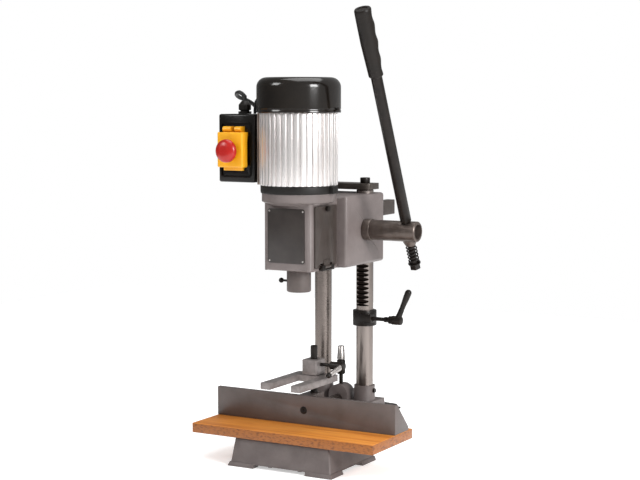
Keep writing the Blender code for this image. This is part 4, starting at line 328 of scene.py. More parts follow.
loops = coil_points()
coil_first = (loops[0] - loops[1]).normalized()
coil_last = (loops[-1] - loops[-2]).normalized()
loops = [loops[0] + coil_first * 2 * cord_r, *loops, loops[-1] + coil_last * 2 * cord_r]
coil_run = sum((q - p).length for p, q in zip(loops, loops[1:]))
meet = loops[0] + coil_first * clear
cord_route = [
    cord_start,
    cord_start + Vector((0, 0, 2 * cord_r)),
    Vector((gland_x - 3 * cord_r, gland_y, cord_start.z + 4 * cord_r)),
    Vector((box_left - cord_r, gland_y + 6 * cord_r, cord_start.z + 2 * cord_r)),
    Vector((box_left + 3 * cord_r, motor_y + motor_r, cord_start.z - 6 * cord_r)),
    Vector((head_left - 6 * cord_r, -0.027 + motor_r, flange_z)),
    Vector((head_left - 4 * cord_r, head_back + 4 * cord_r, head_foot_z + 4 * cord_r)),
    Vector((head_left - 3 * cord_r, head_back + 5 * cord_r, base_top_z + 6 * cord_r)),
    Vector((head_left - 3 * cord_r, head_back + 6 * cord_r, 8 * cord_r)),
    meet + coil_first * 6 * cord_r + Vector((0, 0, cord_r / 2)),
    meet + coil_first * 2 * cord_r,
    meet,
]
run_points, cord_run = smooth_route(cord_route, 2 * cord_r)
for point in run_points:
    point.z = max(point.z, cord_r)
tail_way = Vector((coil_last.x, coil_last.y, 0)).normalized()
tail_end = loops[-1] + tail_way * (cord_length - cord_run - coil_run)
tail_end.z = 0.012
tail = [loops[-2], loops[-1], loops[-1].lerp(tail_end, 1 / 3), tail_end - tail_way * 2 * cord_r, tail_end]
tail[2].z = loops[-1].z
tail_points, _ = smooth_route(tail, 2 * cord_r)
cord_path = run_points + loops[1:-2] + tail_points
# Rubber as extruded: dull black with a very fine matt skin.
lead_rubber = coated(
    "extruded_rubber", "#171615", 0.55, shades=("#131212", "#1f1e1d", 0.02),
    grains=(0.0008, 0.00004), gloss=(0.48, 0.62),
)
mains_lead = into_object("mains_lead", tube_bm(cord_path, cord_r, 12))
surface(mains_lead, lead_rubber, 50)
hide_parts("mains_cord", "cord_coil")
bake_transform(mains_lead)


# Plug and motor lead.
# The plug is moulded in one with its lead, and a short lead goes from the switch's box
# into the motor's cap.
def finish_piece(piece, finish, *nodes, body=None, slot=None, sharp=35):
    """The piece's surface, the nodes that it replaces and the body it rides on; its slot is not used."""
    surface(piece, finish, sharp)
    if nodes:
        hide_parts(*nodes)
    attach(piece, body or body_of[nodes[0]])
    return piece


def plain(piece):
    """The piece as its modifiers leave it, with none left on it."""
    bpy.context.view_layer.update()
    graph = bpy.context.evaluated_depsgraph_get()
    mesh = bpy.data.meshes.new_from_object(piece.evaluated_get(graph))
    piece.modifiers.clear()
    old = piece.data
    piece.data = mesh
    bpy.data.meshes.remove(old)
    return piece


def bevelled(piece, width, segments, steeper_than=30):
    """The piece with its edges rounded where they turn by more than an angle in degrees."""
    rounding = piece.modifiers.new("edges", "BEVEL")
    rounding.width = width
    rounding.segments = segments
    rounding.limit_method = "ANGLE"
    rounding.angle_limit = math.radians(steeper_than)
    return plain(piece)


def refine(node, finish, edge=0.0006, segments=2, sharp=35, reshape=None):
    """A CAD node's own mesh with rounded edges and smooth shading, in its place."""
    bm = bmesh.new()
    bm.from_mesh(frame["nodes"][node].data)
    bmesh.ops.remove_doubles(bm, verts=bm.verts, dist=0.000002)
    bmesh.ops.dissolve_limit(bm, angle_limit=math.radians(0.6), verts=bm.verts, edges=bm.edges)
    if reshape:
        reshape(bm)
    piece = into_object(node + "_body", bm)
    if edge:
        bevelled(piece, edge, segments, sharp + 3)
    return finish_piece(piece, finish, node, sharp=sharp)


# Black moulded plastic: a matt spark-eroded skin, a little lighter where it is handled.
black_moulding = coated(
    "moulded_black_plastic", "#15100d", 0.42, shades=("#120e0b", "#1b1511", 0.03),
    grains=(0.0012, 0.00006), gloss=(0.36, 0.5), specular=0.25,
)
plug = refine("mains_plug", black_moulding, 0.0022, 3)
refine("motor_lead", lead_rubber, 0, sharp=60)

# Base casting.
# Grey iron, cast in sand: a tapered box on four feet, with the sockets for the two
# columns and the boss of the fence's bar behind the table.
# Its paint is sprayed over the rough sand skin, a little dull, and painted darker than the head's grey as
# painted shade.
base_paint_darkened_as_shade = coated(
    "sprayed_rough_iron_painted_shade", "#5c5351", 0.46, shades=("#564d4b", "#635a58", 0.03),
    grains=(0.0020, 0.00022, 0.8), gloss=(0.44, 0.56),
)
refine("base_casting", base_paint_darkened_as_shade, 0.0014, 3)

# Screws of the table and the columns.
# The table's screws come from below, and a set screw holds each column in its socket.
# Oiled black oxide on steel, with a faint brown cast.
black_steel = coated(
    "black_oxide_steel", "#17110e", 0.38, 0.2, shades=("#120d0a", "#1d1713", 0.012),
    grains=(0.0009, 0.00003), gloss=(0.3, 0.44), specular=0.3,
)
for node in ("table_screw_left", "table_screw_right", "column_set_screw_left", "column_set_screw_right"):
    refine(node, black_steel, 0.0003, 1)


# Table board.
# One oiled hardwood board, 17 mm thick, with its edges broken and its grain lengthways.
# The planed face is golden, with streaks that run across the machine.
def cube_bm(low_corner, high_corner):
    """A box between two corners."""
    bm = bmesh.new()
    bmesh.ops.create_cube(bm, size=1)
    middle, size = (low_corner + high_corner) / 2, high_corner - low_corner
    for v in bm.verts:
        v.co = middle + Vector(a * b for a, b in zip(v.co, size))
    return bm


low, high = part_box("table_board")
board_wood, tree, shader, coords = new_finish("oiled_hardwood", "#c98a44", 0.42)
along = (0.06, 1.0, 0.55)
wander = noise(tree, coords, along, Scale=130.0, Detail=6.0, Roughness=0.6, Distortion=0.6)
growth = noise(tree, coords, along, Scale=38.0, Detail=3.0, Roughness=0.5, Distortion=1.2)
both = add(tree, "ShaderNodeMath", {0: wander, 1: growth}, operation="ADD")
half = add(tree, "ShaderNodeMath", {0: both, 1: 0.5}, operation="MULTIPLY")
wood = ramp(tree, half, (0.36, "#ad641f"), (0.62, "#d98f3b"), (0.49, "#c97b2b"))
# The sawn edges, with specks across the grain, are darker and browner than the planed face: partly their own
# colour, partly painted shade.
specks = noise(tree, coords, (0.4, 0.4, 1.0), Scale=380.0, Detail=5.0)
# The edges' colours carry painted shade on the board's sides.
sawn_colour_and_shade = ramp(tree, specks, (0.34, "#6b3a10"), (0.52, "#93561c"))
height = add(tree, "ShaderNodeSeparateXYZ", {"Vector": coords})
planed = ranged(tree, height.outputs["Z"], high.z - 0.0008, high.z - 0.0004, 0, 1)
faces = add(tree, "ShaderNodeMix", {0: planed, 6: sawn_colour_and_shade, 7: wood}, data_type="RGBA")
tree.links.new(faces.outputs[2], shader.inputs["Base Color"])
pores = noise(tree, coords, (0.05, 1.0, 1.0), Scale=1400.0, Detail=2.0)
relief(tree, shader, pores, 0.0001, 0.6)
uneven_gloss(tree, shader, wander, 0.36, 0.52)
board = into_object("table_top_board", cube_bm(low, high))
finish_piece(bevelled(board, 0.0008, 3), board_wood, "table_board")


# Columns.
# Two ground and polished steel bars, 30 mm round, side by side. The right one carries
# the rack, milled into its front, that the feed pinion climbs.
def lathe(name, profile, centre, axis=(0, 0, 1), steps=64):
    """A turned body: profile is (radius, height), swept round axis through centre."""
    bm = bmesh.new()
    rings = []
    for r, h in profile:
        if r < 0.00001:
            rings.append([bm.verts.new((0, 0, h))])
        else:
            turns = [math.tau * k / steps for k in range(steps)]
            rings.append([bm.verts.new((r * math.cos(t), r * math.sin(t), h)) for t in turns])
    closed = all(len(ring) > 1 for ring in rings)
    for a, b in list(zip(rings, rings[1:])) + ([(rings[-1], rings[0])] if closed else []):
        for k in range(steps):
            j = (k + 1) % steps
            corners = [a[k % len(a)], a[j % len(a)], b[j % len(b)], b[k % len(b)]]
            corners = [v for i, v in enumerate(corners) if v not in corners[:i]]
            if len(corners) > 2:
                bm.faces.new(corners)
    outward(bm)
    turn = Vector((0, 0, 1)).rotation_difference(Vector(axis)).to_matrix().to_4x4()
    bmesh.ops.transform(bm, matrix=Matrix.Translation(centre) @ turn, verts=bm.verts)
    return into_object(name, bm)


def spans(node):
    """The low and high corner of a CAD node's box, and its middle."""
    low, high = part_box(node)
    return low, high, (low + high) / 2


# Ground bar: a satin grey-brown under oil, with the faint rings that grinding leaves.
polished_bar, tree, shader, coords = new_finish("ground_steel_bar", "#7f7671", 0.3, 1.0)
grinding = noise(tree, coords, (0.3, 0.3, 30.0), Scale=60.0, Detail=4.0)
relief(tree, shader, grinding, 0.00001, 0.15)
uneven_gloss(tree, shader, grinding, 0.24, 0.36)
low, high, mid = spans("plain_column")
column_r = (high.x - low.x) / 2
profile = [
    (0, high.z), (column_r - 0.0015, high.z), (column_r, high.z - 0.0015),
    (column_r, low.z + 0.001), (column_r - 0.001, low.z), (0, low.z),
]
column = lathe("plain_column_bar", profile, (mid.x, mid.y, 0), steps=72)
finish_piece(column, polished_bar, "plain_column")

# Where the rack is cut the bar is painted near black as painted shade in the teeth, and only the round back
# stays ground.
rack_steel_painted_shade, tree, shader, coords = new_finish("oiled_rack_steel", "#8f8681", 0.32, 1.0)
low, high, mid = spans("rack_column")
rack_r = (high.x - low.x) / 2
centred = add(tree, "ShaderNodeVectorMath", {0: coords, 1: (mid.x, mid.y, 0)}, operation="SUBTRACT")
flat = add(tree, "ShaderNodeVectorMath", {0: centred, 1: (1, 1, 0)}, operation="MULTIPLY")
from_axis = add(tree, "ShaderNodeVectorMath", {0: flat}, operation="LENGTH")
ground = ranged(tree, from_axis.outputs["Value"], rack_r - 0.0004, rack_r - 0.0002, 0, 1)
# The rack's near black is painted shade.
shades = ramp(tree, ground, (0.0, "#2c2521"), (1.0, "#8f8681"))
tree.links.new(shades, shader.inputs["Base Color"])
tree.links.new(ranged(tree, ground, 0, 1, 0.45, 0.3), shader.inputs["Roughness"])
refine("rack_column", rack_steel_painted_shade, 0.0002, 1, sharp=20)


# Tie plate and its two socket-head bolts.
# A flat plate of dark steel with worn bright edges keeps the column tops apart.
def longer_plate(bm):
    """The plate reaches a little past its right bolt."""
    for v in bm.verts:
        if v.co.x > 0.052:
            v.co.x += 0.0050


# Rolled steel under oil: dark grey-brown and half glossy.
plate_steel = coated(
    "dark_rolled_steel", "#47413d", 0.34, 0.5, shades=("#403a36", "#514a45", 0.02),
    grains=(0.0012, 0.00004), gloss=(0.28, 0.42),
)
refine("column_tie_plate", plate_steel, 0.0012, 3, reshape=longer_plate)
for node in ("tie_plate_bolt_left", "tie_plate_bolt_right"):
    refine(node, black_steel, 0.0007, 2)


# Fence.
# A dark painted casting across the table: an upright face on a thin foot, a gusset at
# each end, bolted in the middle to the round bar that slides in the base.
def sunk_head(bm):
    """The bolt's head lies in its counterbore."""
    for v in bm.verts:
        if v.co.y < -0.0645:
            v.co.y += 0.0038


# Sprayed dark paint over the sand skin, with a soft sheen.
fence_paint = coated(
    "sprayed_dark_iron", "#544b48", 0.4, shades=("#4e4643", "#5c524f", 0.05),
    grains=(0.0022, 0.00016, 0.7), gloss=(0.36, 0.5),
)
refine("fence_casting", fence_paint, 0.0011, 3)
refine("fence_bar", polished_bar, 0.0006, 2)
refine("fence_bolt", black_steel, 0.0006, 2, reshape=sunk_head)


# Clamping levers of the fence, the hold-down and the depth stop.
# Each is a black moulded hub on a blackened screw. The fence's and the hold-down's arms
# are bright steel, and the depth stop's is moulded with its hub.
def arm_between(name, foot, tip, radii):
    """A turned arm from foot to tip, with radii at even steps and a rounded end."""
    run = tip - foot
    profile = [(0, 0)] + [(r, run.length * k / (len(radii) - 1)) for k, r in enumerate(radii)]
    end = radii[-1]
    profile += [(end * math.cos(t), run.length + end * math.sin(t)) for t in (0.35, 0.7, 1.05, 1.35)]
    profile.append((0, run.length + end))
    return lathe(name, profile, foot, run, 32)


# Steel brushed lengthways: light, satin and unevenly bright.
bright_steel = coated(
    "brushed_bright_steel", "#b3aeab", 0.34, 1.0, grains=(0.0011, 0.00004, 0.6, (1, 0.2, 1), 4.0),
    gloss=(0.28, 0.42),
)
for node in ("fence_lock_hub", "hold_down_lock_hub"):
    refine(node, black_moulding, 0.0007, 3)
for node in ("fence_lock_screw", "hold_down_screw"):
    refine(node, black_steel, 0.0005, 2)
refine("depth_collar", black_steel, 0.0008, 2)

# The fence's arm is an upright cone.
low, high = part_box("fence_lock_arm")
cone_foot, cone_top = low.z, high.z + 0.0015
profile = [
    (0, cone_top), (0.0046, cone_top), (0.0054, cone_top - 0.0010), (0.0072, cone_foot + 0.001),
    (0.0064, cone_foot), (0, cone_foot),
]
finish_piece(lathe("fence_lock_cone", profile, (0, 0.068, 0), steps=40), bright_steel, "fence_lock_arm")

# The hold-down's arm comes forward and down, and ends in a black tip.
low, high, mid = spans("hold_down_lock_arm")
arm_foot = Vector((mid.x + 0.001, high.y, 0.1640))
arm_tip = Vector((mid.x - 0.0045, low.y + 0.004, 0.1545))
arm = arm_between("hold_down_arm", arm_foot, arm_tip, (0.0048, 0.0047, 0.0044, 0.0040))
finish_piece(arm, bright_steel, "hold_down_lock_arm")
arm_way = (arm_tip - arm_foot).normalized()
arm_end = arm_between(
    "hold_down_arm_end", arm_tip - arm_way * 0.001, arm_tip + arm_way * 0.0025, (0.0044, 0.0044)
)
finish_piece(arm_end, black_moulding, body=body_of["hold_down_lock_arm"], slot=slot_of["hold_down_lock_hub"])

# The depth stop's screw, hub and arm lie to the right of the column.
low, high, mid = spans("depth_lock_screw")
screw_axis = (0, mid.y, mid.z)
profile = [
    (0, low.x), (0.0034, low.x), (0.0034, 0.0905), (0.0048, 0.0912), (0.0048, 0.0955),
    (0.0034, 0.0962), (0.0034, 0.0985), (0, 0.0985),
]
stop_screw = lathe("depth_stop_screw", profile, screw_axis, (1, 0, 0), 40)
finish_piece(stop_screw, black_steel, "depth_lock_screw")
profile = [
    (0, 0.0990), (0.0058, 0.0990), (0.0068, 0.1000), (0.0068, 0.1040), (0.0060, 0.1046),
    (0.0078, 0.1060), (0.0078, 0.1215), (0.0070, 0.1232), (0.0050, 0.1240), (0, 0.1240),
]
stop_hub = lathe("depth_stop_hub", profile, screw_axis, (1, 0, 0), 48)
finish_piece(stop_hub, black_moulding, "depth_lock_hub")
lean_out, arm_length = math.radians(23), 0.0505
arm_foot = Vector((0.1165, mid.y, mid.z + 0.003))
arm_tip = arm_foot + Vector((math.sin(lean_out), 0, math.cos(lean_out))) * arm_length
stop_arm = arm_between("depth_stop_arm", arm_foot, arm_tip, (0.0056, 0.0050, 0.0046, 0.0048, 0.0056, 0.0058))
finish_piece(stop_arm, black_moulding, body=body_of["depth_lock_hub"], slot=slot_of["depth_lock_hub"])


# Hold-down post, fork and clamp block.
# A black threaded rod carries a milled iron block, and a fork of the same iron under it
# straddles the chisel.
def deeper_fork(bm):
    """The fork's bars are a little deeper than they are wide."""
    for v in bm.verts:
        if v.co.z < 0.1385:
            v.co.z -= 0.0020


low, high, mid = spans("hold_down_post")
post_r, thread_pitch, thread_deep, chamfer = (high.x - low.x) / 2, 0.0015, 0.0004, 0.0008
profile = [(0, high.z), (post_r - chamfer, high.z)]
for k in range(int((high.z - low.z) / thread_pitch) - 1):
    crest = high.z - chamfer - k * thread_pitch
    profile += [(post_r, crest), (post_r - thread_deep, crest - thread_pitch / 2)]
profile += [(post_r - chamfer, low.z), (0, low.z)]
post = lathe("hold_down_threaded_post", profile, (mid.x, mid.y, 0), steps=40)
finish_piece(post, black_steel, "hold_down_post", sharp=60)
# Iron milled on every face: grey, with the cutter's fine lines.
milled_iron = coated(
    "milled_grey_iron", "#7f7876", 0.42, 0.45, shades=("#77706e", "#8a8381", 0.012),
    grains=(0.0012, 0.00004, 0.6, (1, 0.2, 1)), gloss=(0.36, 0.5),
)
refine("hold_down_fork", milled_iron, 0.0008, 2, reshape=deeper_fork)
refine("hold_down_block", milled_iron, 0.0012, 3)

# Head casting.
# Grey iron: the square chuck chamber in front, the wider housing round the columns and
# the feed pinion behind, and the round seat of the motor on top. A pin is at its rear.
head_top, collar_lift, housing_lift, cheek = 0.451, 0.0035, 0.0045, 0.0035
chamber_x, chamber_front, chamber_low, chamber_back = 0.044, -0.117, head_foot_z, -0.0215
near, touching = 0.003, 0.0001


def rounder_head(bm):
    """A taller collar and housing, and the chuck chamber's corners rounded as it was cast."""
    for v in bm.verts:
        p = v.co
        if p.z > head_top + 0.0005:
            p.z += collar_lift
        elif p.z > 0.4455 and p.y > -0.0275:
            p.z += housing_lift
        if p.y < chamber_back and abs(p.x) < chamber_x + 0.0005 and p.z < 0.4475:
            if abs(p.x) > chamber_x - near and p.y < chamber_front + near:
                p.x = math.copysign(chamber_x, p.x)
                p.y = chamber_front
                p.z = head_top - 0.004 if p.z > 0.44 else p.z
            if p.z < chamber_low + near:
                p.z = chamber_low
                if abs(p.x) > chamber_x - near:
                    p.x = math.copysign(chamber_x, p.x)
                if p.y < chamber_front + near:
                    p.y = chamber_front
            if p.x < -chamber_x + near:
                p.x -= cheek
    bmesh.ops.remove_doubles(bm, verts=bm.verts, dist=0.00002)
    bmesh.ops.dissolve_degenerate(bm, edges=bm.edges, dist=0.00001)

    def is_corner(edge):
        """An upright edge at the chamber's front."""
        a, b = (v.co for v in edge.verts)
        upright = abs(a.x - b.x) < touching and abs(a.y - b.y) < touching
        at_front = a.y < chamber_front + touching and b.y < chamber_front + touching
        return at_front and upright and abs(a.x) > chamber_x - touching and (a - b).length > 0.05

    def is_foot(edge):
        """A long edge round the chamber's foot."""
        a, b = (v.co for v in edge.verts)
        low_enough = max(a.z, b.z) < chamber_low + touching and min(a.y, b.y) < -0.05
        on_front = max(a.y, b.y) < chamber_front + touching
        on_side = abs(a.x - b.x) < touching and abs(a.x) > chamber_x - touching
        return low_enough and (on_front or on_side) and (a - b).length > 0.05

    for wanted, radius, segments in ((is_corner, 0.0075, 6), (is_foot, 0.004, 4)):
        edges = [e for e in bm.edges if wanted(e)]
        bmesh.ops.bevel(bm, geom=edges, offset=radius, segments=segments, profile=0.5, affect="EDGES")


# Sprayed grey paint over the sand skin, with a soft sheen.
cast_paint = coated(
    "sprayed_grey_iron", "#6c6361", 0.36, shades=("#675e5c", "#736a68", 0.045),
    grains=(0.0022, 0.00016, 0.7), gloss=(0.34, 0.46),
)
refine("head_casting", cast_paint, 0.0012, 3, reshape=rounder_head)
refine("rear_bracket_pin", black_steel, 0.0002, 1)


# Front panel.
# A thin dark plate, bare, held to the casting by a rivet at each corner.
def geometry_tree(name, *inputs):
    """A Geometry Nodes tree and its inlet's sockets; an input is a label, a kind and a value."""
    tree = bpy.data.node_groups.new(name, "GeometryNodeTree")
    for label, kind, value in inputs:
        socket = tree.interface.new_socket(label, in_out="INPUT", socket_type="NodeSocket" + kind)
        if value is not None:
            socket.default_value = value
    tree.interface.new_socket("Pieces", in_out="OUTPUT", socket_type="NodeSocketGeometry")
    return tree, add(tree, "NodeGroupInput").outputs


def made_real(piece, tree, shapes, finish):
    """The piece as the tree makes it, with its shapes made plain mesh in their finish."""
    real = add(tree, "GeometryNodeRealizeInstances", {"Geometry": shapes})
    coat = add(tree, "GeometryNodeSetMaterial", {"Geometry": real, "Material": finish})
    add(tree, "NodeGroupOutput", {"Pieces": coat})
    piece.modifiers.new("pieces", "NODES").node_group = tree
    return plain(piece)


def copies(name, item, spots, finish):
    """Like pieces at spots, placed by Geometry Nodes and made one plain mesh."""
    points = bmesh.new()
    for spot in spots:
        points.verts.new(spot)
    tree, given = geometry_tree(name + "_tree", ("Spots", "Geometry", None), ("Item Scale", "Float", 1.0))
    source = add(tree, "GeometryNodeObjectInfo", {"Object": item, "As Instance": True})
    sockets = {"Points": given["Spots"], "Instance": source.outputs["Geometry"], "Scale": given["Item Scale"]}
    placed = add(tree, "GeometryNodeInstanceOnPoints", sockets)
    holder = made_real(into_object(name, points), tree, placed, finish)
    bpy.data.objects.remove(item, do_unlink=True)
    return holder


# Anodised plate: near black, smooth and a little glossy.
panel_finish = coated(
    "anodised_dark_plate", "#2a2422", 0.36, shades=("#26201e", "#302a27", 0.03),
    grains=(0.0015, 0.00003, 0.6), gloss=(0.28, 0.4),
)
panel_thick = 0.0012
panel_bm = cube_bm(
    Vector((-0.0380, chamber_front - panel_thick, 0.3470)), Vector((0.0330, chamber_front, 0.4380))
)
corner_edges = [e for e in panel_bm.edges if abs((e.verts[0].co - e.verts[1].co).y) > 0.0005]
bmesh.ops.bevel(
    panel_bm, geom=corner_edges, offset=0.004, segments=5, profile=0.5, affect="EDGES", clamp_overlap=True
)
panel = into_object("front_panel", panel_bm)
finish_piece(bevelled(panel, 0.0003, 2), panel_finish, body="head", slot="dark_paint")
profile = [(0, 0.0010), (0.0008, 0.0009), (0.0014, 0.0005), (0.0016, 0), (0, 0)]
rivet = lathe("rivet", profile, (0, 0, 0), (0, -1, 0), 16)
spots = [(x, chamber_front - panel_thick, z) for x in (-0.0345, 0.0295) for z in (0.3510, 0.4340)]
rivets = copies("front_panel_rivets", rivet, spots, bright_steel)
finish_piece(rivets, bright_steel, body="head", slot="bare_steel")

# Access door to the chuck, and the bracket at the head's rear.
# A pressed steel plate, dark, on a hinge at its foot, with a knob at its top. The bracket is an ear given the
# same dark paint, darker than its own, as painted shade.
# Thin dark paint over pressed steel.
door_paint = coated(
    "sprayed_dark_plate", "#37302c", 0.36, shades=("#332c28", "#3e3632", 0.03),
    grains=(0.0018, 0.0001, 0.7), gloss=(0.32, 0.45),
)
refine("access_door", door_paint, 0.0006, 2)
# The bracket's dark paint is painted shade.
refine("rear_bracket", door_paint, 0.001, 3)
refine("door_knob", black_moulding, 0.0008, 3)
refine("door_hinge", black_steel, 0.0005, 2)


# Chisel socket with its clamp screw.
# The socket is turned, in the fence's dark paint, and a ball-ended screw clamps the chisel.
def arc(mid_r, mid_h, radius, first, last, steps):
    """Points along an arc round a middle, between two angles in degrees."""
    turns = [math.radians(first + (last - first) * k / steps) for k in range(steps + 1)]
    return [(mid_r + radius * math.cos(t), mid_h + radius * math.sin(t)) for t in turns]


refine("chisel_socket", fence_paint, 0.0010, 3)
low, high, mid = spans("chisel_clamp_screw")
ball_r, ball_x, stem_r = 0.0044, 0.0345, 0.0019
profile = [(0, ball_x + ball_r), *arc(0, ball_x, ball_r, 78.75, -56.25, 12)]
profile += [(stem_r, ball_x - ball_r), (stem_r, -high.x), (0, -high.x)]
ball = lathe("chisel_clamp_ball", profile, (0, mid.y, mid.z - 0.0008), (-1, 0, 0), 32)
finish_piece(ball, black_moulding, "chisel_clamp_screw")


# Motor.
# The body is an aluminium extrusion with 40 ribs round it, bare and bright, on a black
# flange with two lugs; a pressed black cap covers the fan at its top.
def shifted(way):
    """A reshape that moves a whole piece."""
    return lambda bm: bmesh.ops.translate(bm, verts=bm.verts, vec=way)


# Cast flange: matt black paint. It sits on the taller collar.
matt_black = coated(
    "matt_black_casting", "#0e0b09", 0.5, shades=("#0b0907", "#130f0c", 0.02),
    grains=(0.002, 0.00012, 0.7), gloss=(0.44, 0.58), specular=0.35,
)
refine("motor_flange", matt_black, 0.0012, 3, reshape=shifted((0, 0, collar_lift)))
low, high, mid = spans("motor_flange")
lug_half, lug_low, lug_high = 0.008, 0.4632, 0.4756
for lug_name, side in (("motor_lug_left", -1), ("motor_lug_right", 1)):
    inner, outer = sorted((side * 0.0540, side * 0.0712))
    lug_bm = cube_bm(Vector((inner, mid.y - lug_half, lug_low)), Vector((outer, mid.y + lug_half, lug_high)))
    lug = bevelled(into_object(lug_name, lug_bm), 0.0012, 3)
    finish_piece(lug, matt_black, body="head", slot=slot_of["motor_flange"])

# Bare aluminium as extruded: bright, with faint draw lines up its length.
bright_aluminium = coated(
    "extruded_aluminium", "#ece8e6", 0.32, 0.8, shades=("#e2dddb", "#f4f1f0", 0.012, (1, 1, 0.05)),
    grains=(0.0014, 0.00002, 0.4, (1, 1, 0.01), 3.0), gloss=(0.24, 0.38),
)
low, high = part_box("motor_housing")
low.z += collar_lift
rib_count, rib_deep, rib_wide, bore_r = 40, 0.0026, 0.0062, 0.044
core_r = motor_r - rib_deep
profile = [(core_r, high.z), (core_r, low.z), (bore_r, low.z), (bore_r, high.z)]
core = lathe("motor_core", profile, (0, motor_y, 0), steps=96)
tree, given = geometry_tree(
    "motor_ribs",
    ("Core", "Geometry", None),
    ("Ribs", "Int", rib_count),
    ("Reach", "Float", motor_r - rib_deep / 2),
    ("Depth", "Float", rib_deep + 0.001),
    ("Width", "Float", rib_wide),
    ("Height", "Float", high.z - low.z),
)
ring = add(tree, "GeometryNodeMeshCircle", {"Vertices": given["Ribs"], "Radius": given["Reach"]})
middle = (0, motor_y, (high.z + low.z) / 2)
centred = add(tree, "GeometryNodeSetPosition", {"Geometry": ring, "Offset": middle})
size = add(tree, "ShaderNodeCombineXYZ", {"X": given["Depth"], "Y": given["Width"], "Z": given["Height"]})
rib = add(tree, "GeometryNodeMeshCube", {"Size": size})
number = add(tree, "GeometryNodeInputIndex")
step = add(tree, "ShaderNodeMath", {0: number, 1: math.tau / rib_count}, operation="MULTIPLY")
turn = add(tree, "ShaderNodeCombineXYZ", {"Z": step})
placed = add(tree, "GeometryNodeInstanceOnPoints", {"Points": centred, "Instance": rib, "Rotation": turn})
joined = add(tree, "GeometryNodeJoinGeometry", {"Geometry": placed})
tree.links.new(given["Core"], joined.inputs["Geometry"])
made_real(core, tree, joined, bright_aluminium)
finish_piece(bevelled(core, 0.0009, 3, 50), bright_aluminium, "motor_housing")


def prism(bm, outline, levels, axis):
    """A closed body in bm: a flat outline between two levels along an axis."""
    ends = [[bm.verts.new((*flat[:axis], level, *flat[axis:])) for flat in outline] for level in levels]
    bm.faces.new(ends[0])
    bm.faces.new(list(reversed(ends[1])))
    bridge(bm, *ends)


# The pad that carries the switch's box runs the whole height of the extrusion, at the left, with three
# grooves in its front. Its aluminium is rougher, and painted darker and beige: painted shade at the motor's
# left, with a beige cast of painted reflection from the yellow switch.
pad_left, pad_right, pad_front, pad_back, groove_deep = -0.0650, -0.0500, -0.1080, -0.0500, 0.0022
outline = [(pad_right, pad_back), (pad_left, pad_back), (pad_left, pad_front + 0.0010)]
for groove_x in (-0.0618, -0.0574, -0.0530):
    for across, deep in ((-0.0010, 0), (-0.0006, groove_deep), (0.0006, groove_deep), (0.0010, 0)):
        outline.append((groove_x + across, pad_front + deep))
outline.append((pad_right, pad_front))
pad_bm = bmesh.new()
prism(pad_bm, outline, (low.z, high.z), 2)
# The pad's darker beige is painted shade with a painted reflection.
pad_aluminium_painted_shade = coated("pad_aluminium_shade_and_reflection", "#a3978f", 0.44, 0.35, shades=("#998d86", "#b0a49c", 0.02))
pad = into_object("switch_mount_pad", outward(pad_bm))
finish_piece(pad, pad_aluminium_painted_shade, body="head", slot="aluminium")
refine("motor_end_shield", bright_aluminium, 0.0006, 2)

# The cap is pressed from sheet, with a large round over and a bead near its rim.
# Stoved enamel: deep black and glossy, with a trace of orange peel.
black_enamel = coated(
    "gloss_black_enamel", "#14100d", 0.16, shades=("#120e0b", "#19140f", 0.06),
    grains=(0.006, 0.00008, 0.5),
)
low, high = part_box("motor_cap")
high.z += 0.0040
cap_r, cap_round, cap_wall, bead = (high.x - low.x) / 2 + 0.001, 0.0165, 0.004, 0.0006
round_r, round_z = cap_r - cap_round, high.z - cap_round
profile = [(0, high.z), *arc(round_r, round_z, cap_round, 90, 0, 12)]
profile += [
    (cap_r, low.z + 0.0065), (cap_r - bead, low.z + 0.0058), (cap_r - bead, low.z + 0.0044),
    (cap_r, low.z + 0.0036), (cap_r, low.z + 0.0006), (cap_r - bead, low.z),
    (cap_r - cap_wall, low.z),
]
profile += [*arc(round_r, round_z, cap_round - cap_wall, 0, 90, 8), (0, high.z - cap_wall)]
cap = lathe("motor_cap_shell", profile, (0, motor_y, 0), steps=96)
finish_piece(cap, black_enamel, "motor_cap", sharp=40)
for node, side in (("motor_cap_screw_left", -1), ("motor_cap_screw_right", 1)):
    refine(node, black_steel, 0.0005, 2, reshape=shifted((side * 0.0026, side * 0.0022, 0.0012)))

# Spindle.
# The motor's shaft with its rotor, the fan under the cap, and the keyed chuck that is
# behind the access door.
refine("motor_shaft", bright_steel, 0.0005, 2)
refine("cooling_fan", black_moulding, 0.0004, 1)
refine("drill_chuck", bright_steel, 0.0005, 2)

# Feed pinion, hub and collar.
# The sleeve on the pinion's shaft carries the lever near its open end.
refine("pinion_shaft", black_steel, 0.0003, 1, sharp=25)
# Turned steel under old oil: brown-grey with bright edges.
oiled_steel = coated(
    "oiled_dark_steel", "#5b514c", 0.34, 0.6, shades=("#524843", "#655b55", 0.015),
    grains=(0.0012, 0.00003), gloss=(0.28, 0.42),
)
refine("feed_hub", oiled_steel, 0.0009, 3)
refine("feed_hub_collar", oiled_steel, 0.0009, 3)

# Lever.
# A blackened steel rod through the hub, held down by a spring and a flanged nut, with a
# black moulded grip that has four finger hollows at its back.
lean = math.radians(24.5)
lever_way = Vector((0, -math.sin(lean), math.cos(lean)))
hub_centre = Vector((0.144, 0.078 - 0.0112 - 0.025, 0.3945))
rod_r, rod_end_r, rod_foot = 0.0094, 0.0060, -0.0720
profile = [
    (0, 0.345), (rod_end_r, 0.345), (rod_end_r, 0.287), (rod_r, 0.2868), (rod_r, 0.0210),
    (0.0078, 0.0180), (rod_end_r, 0.0180), (rod_end_r, rod_foot + 0.0008), (0.0052, rod_foot),
    (0, rod_foot),
]
rod = lathe("lever_rod_bar", profile, hub_centre, lever_way, 48)
finish_piece(rod, black_steel, "lever_rod")

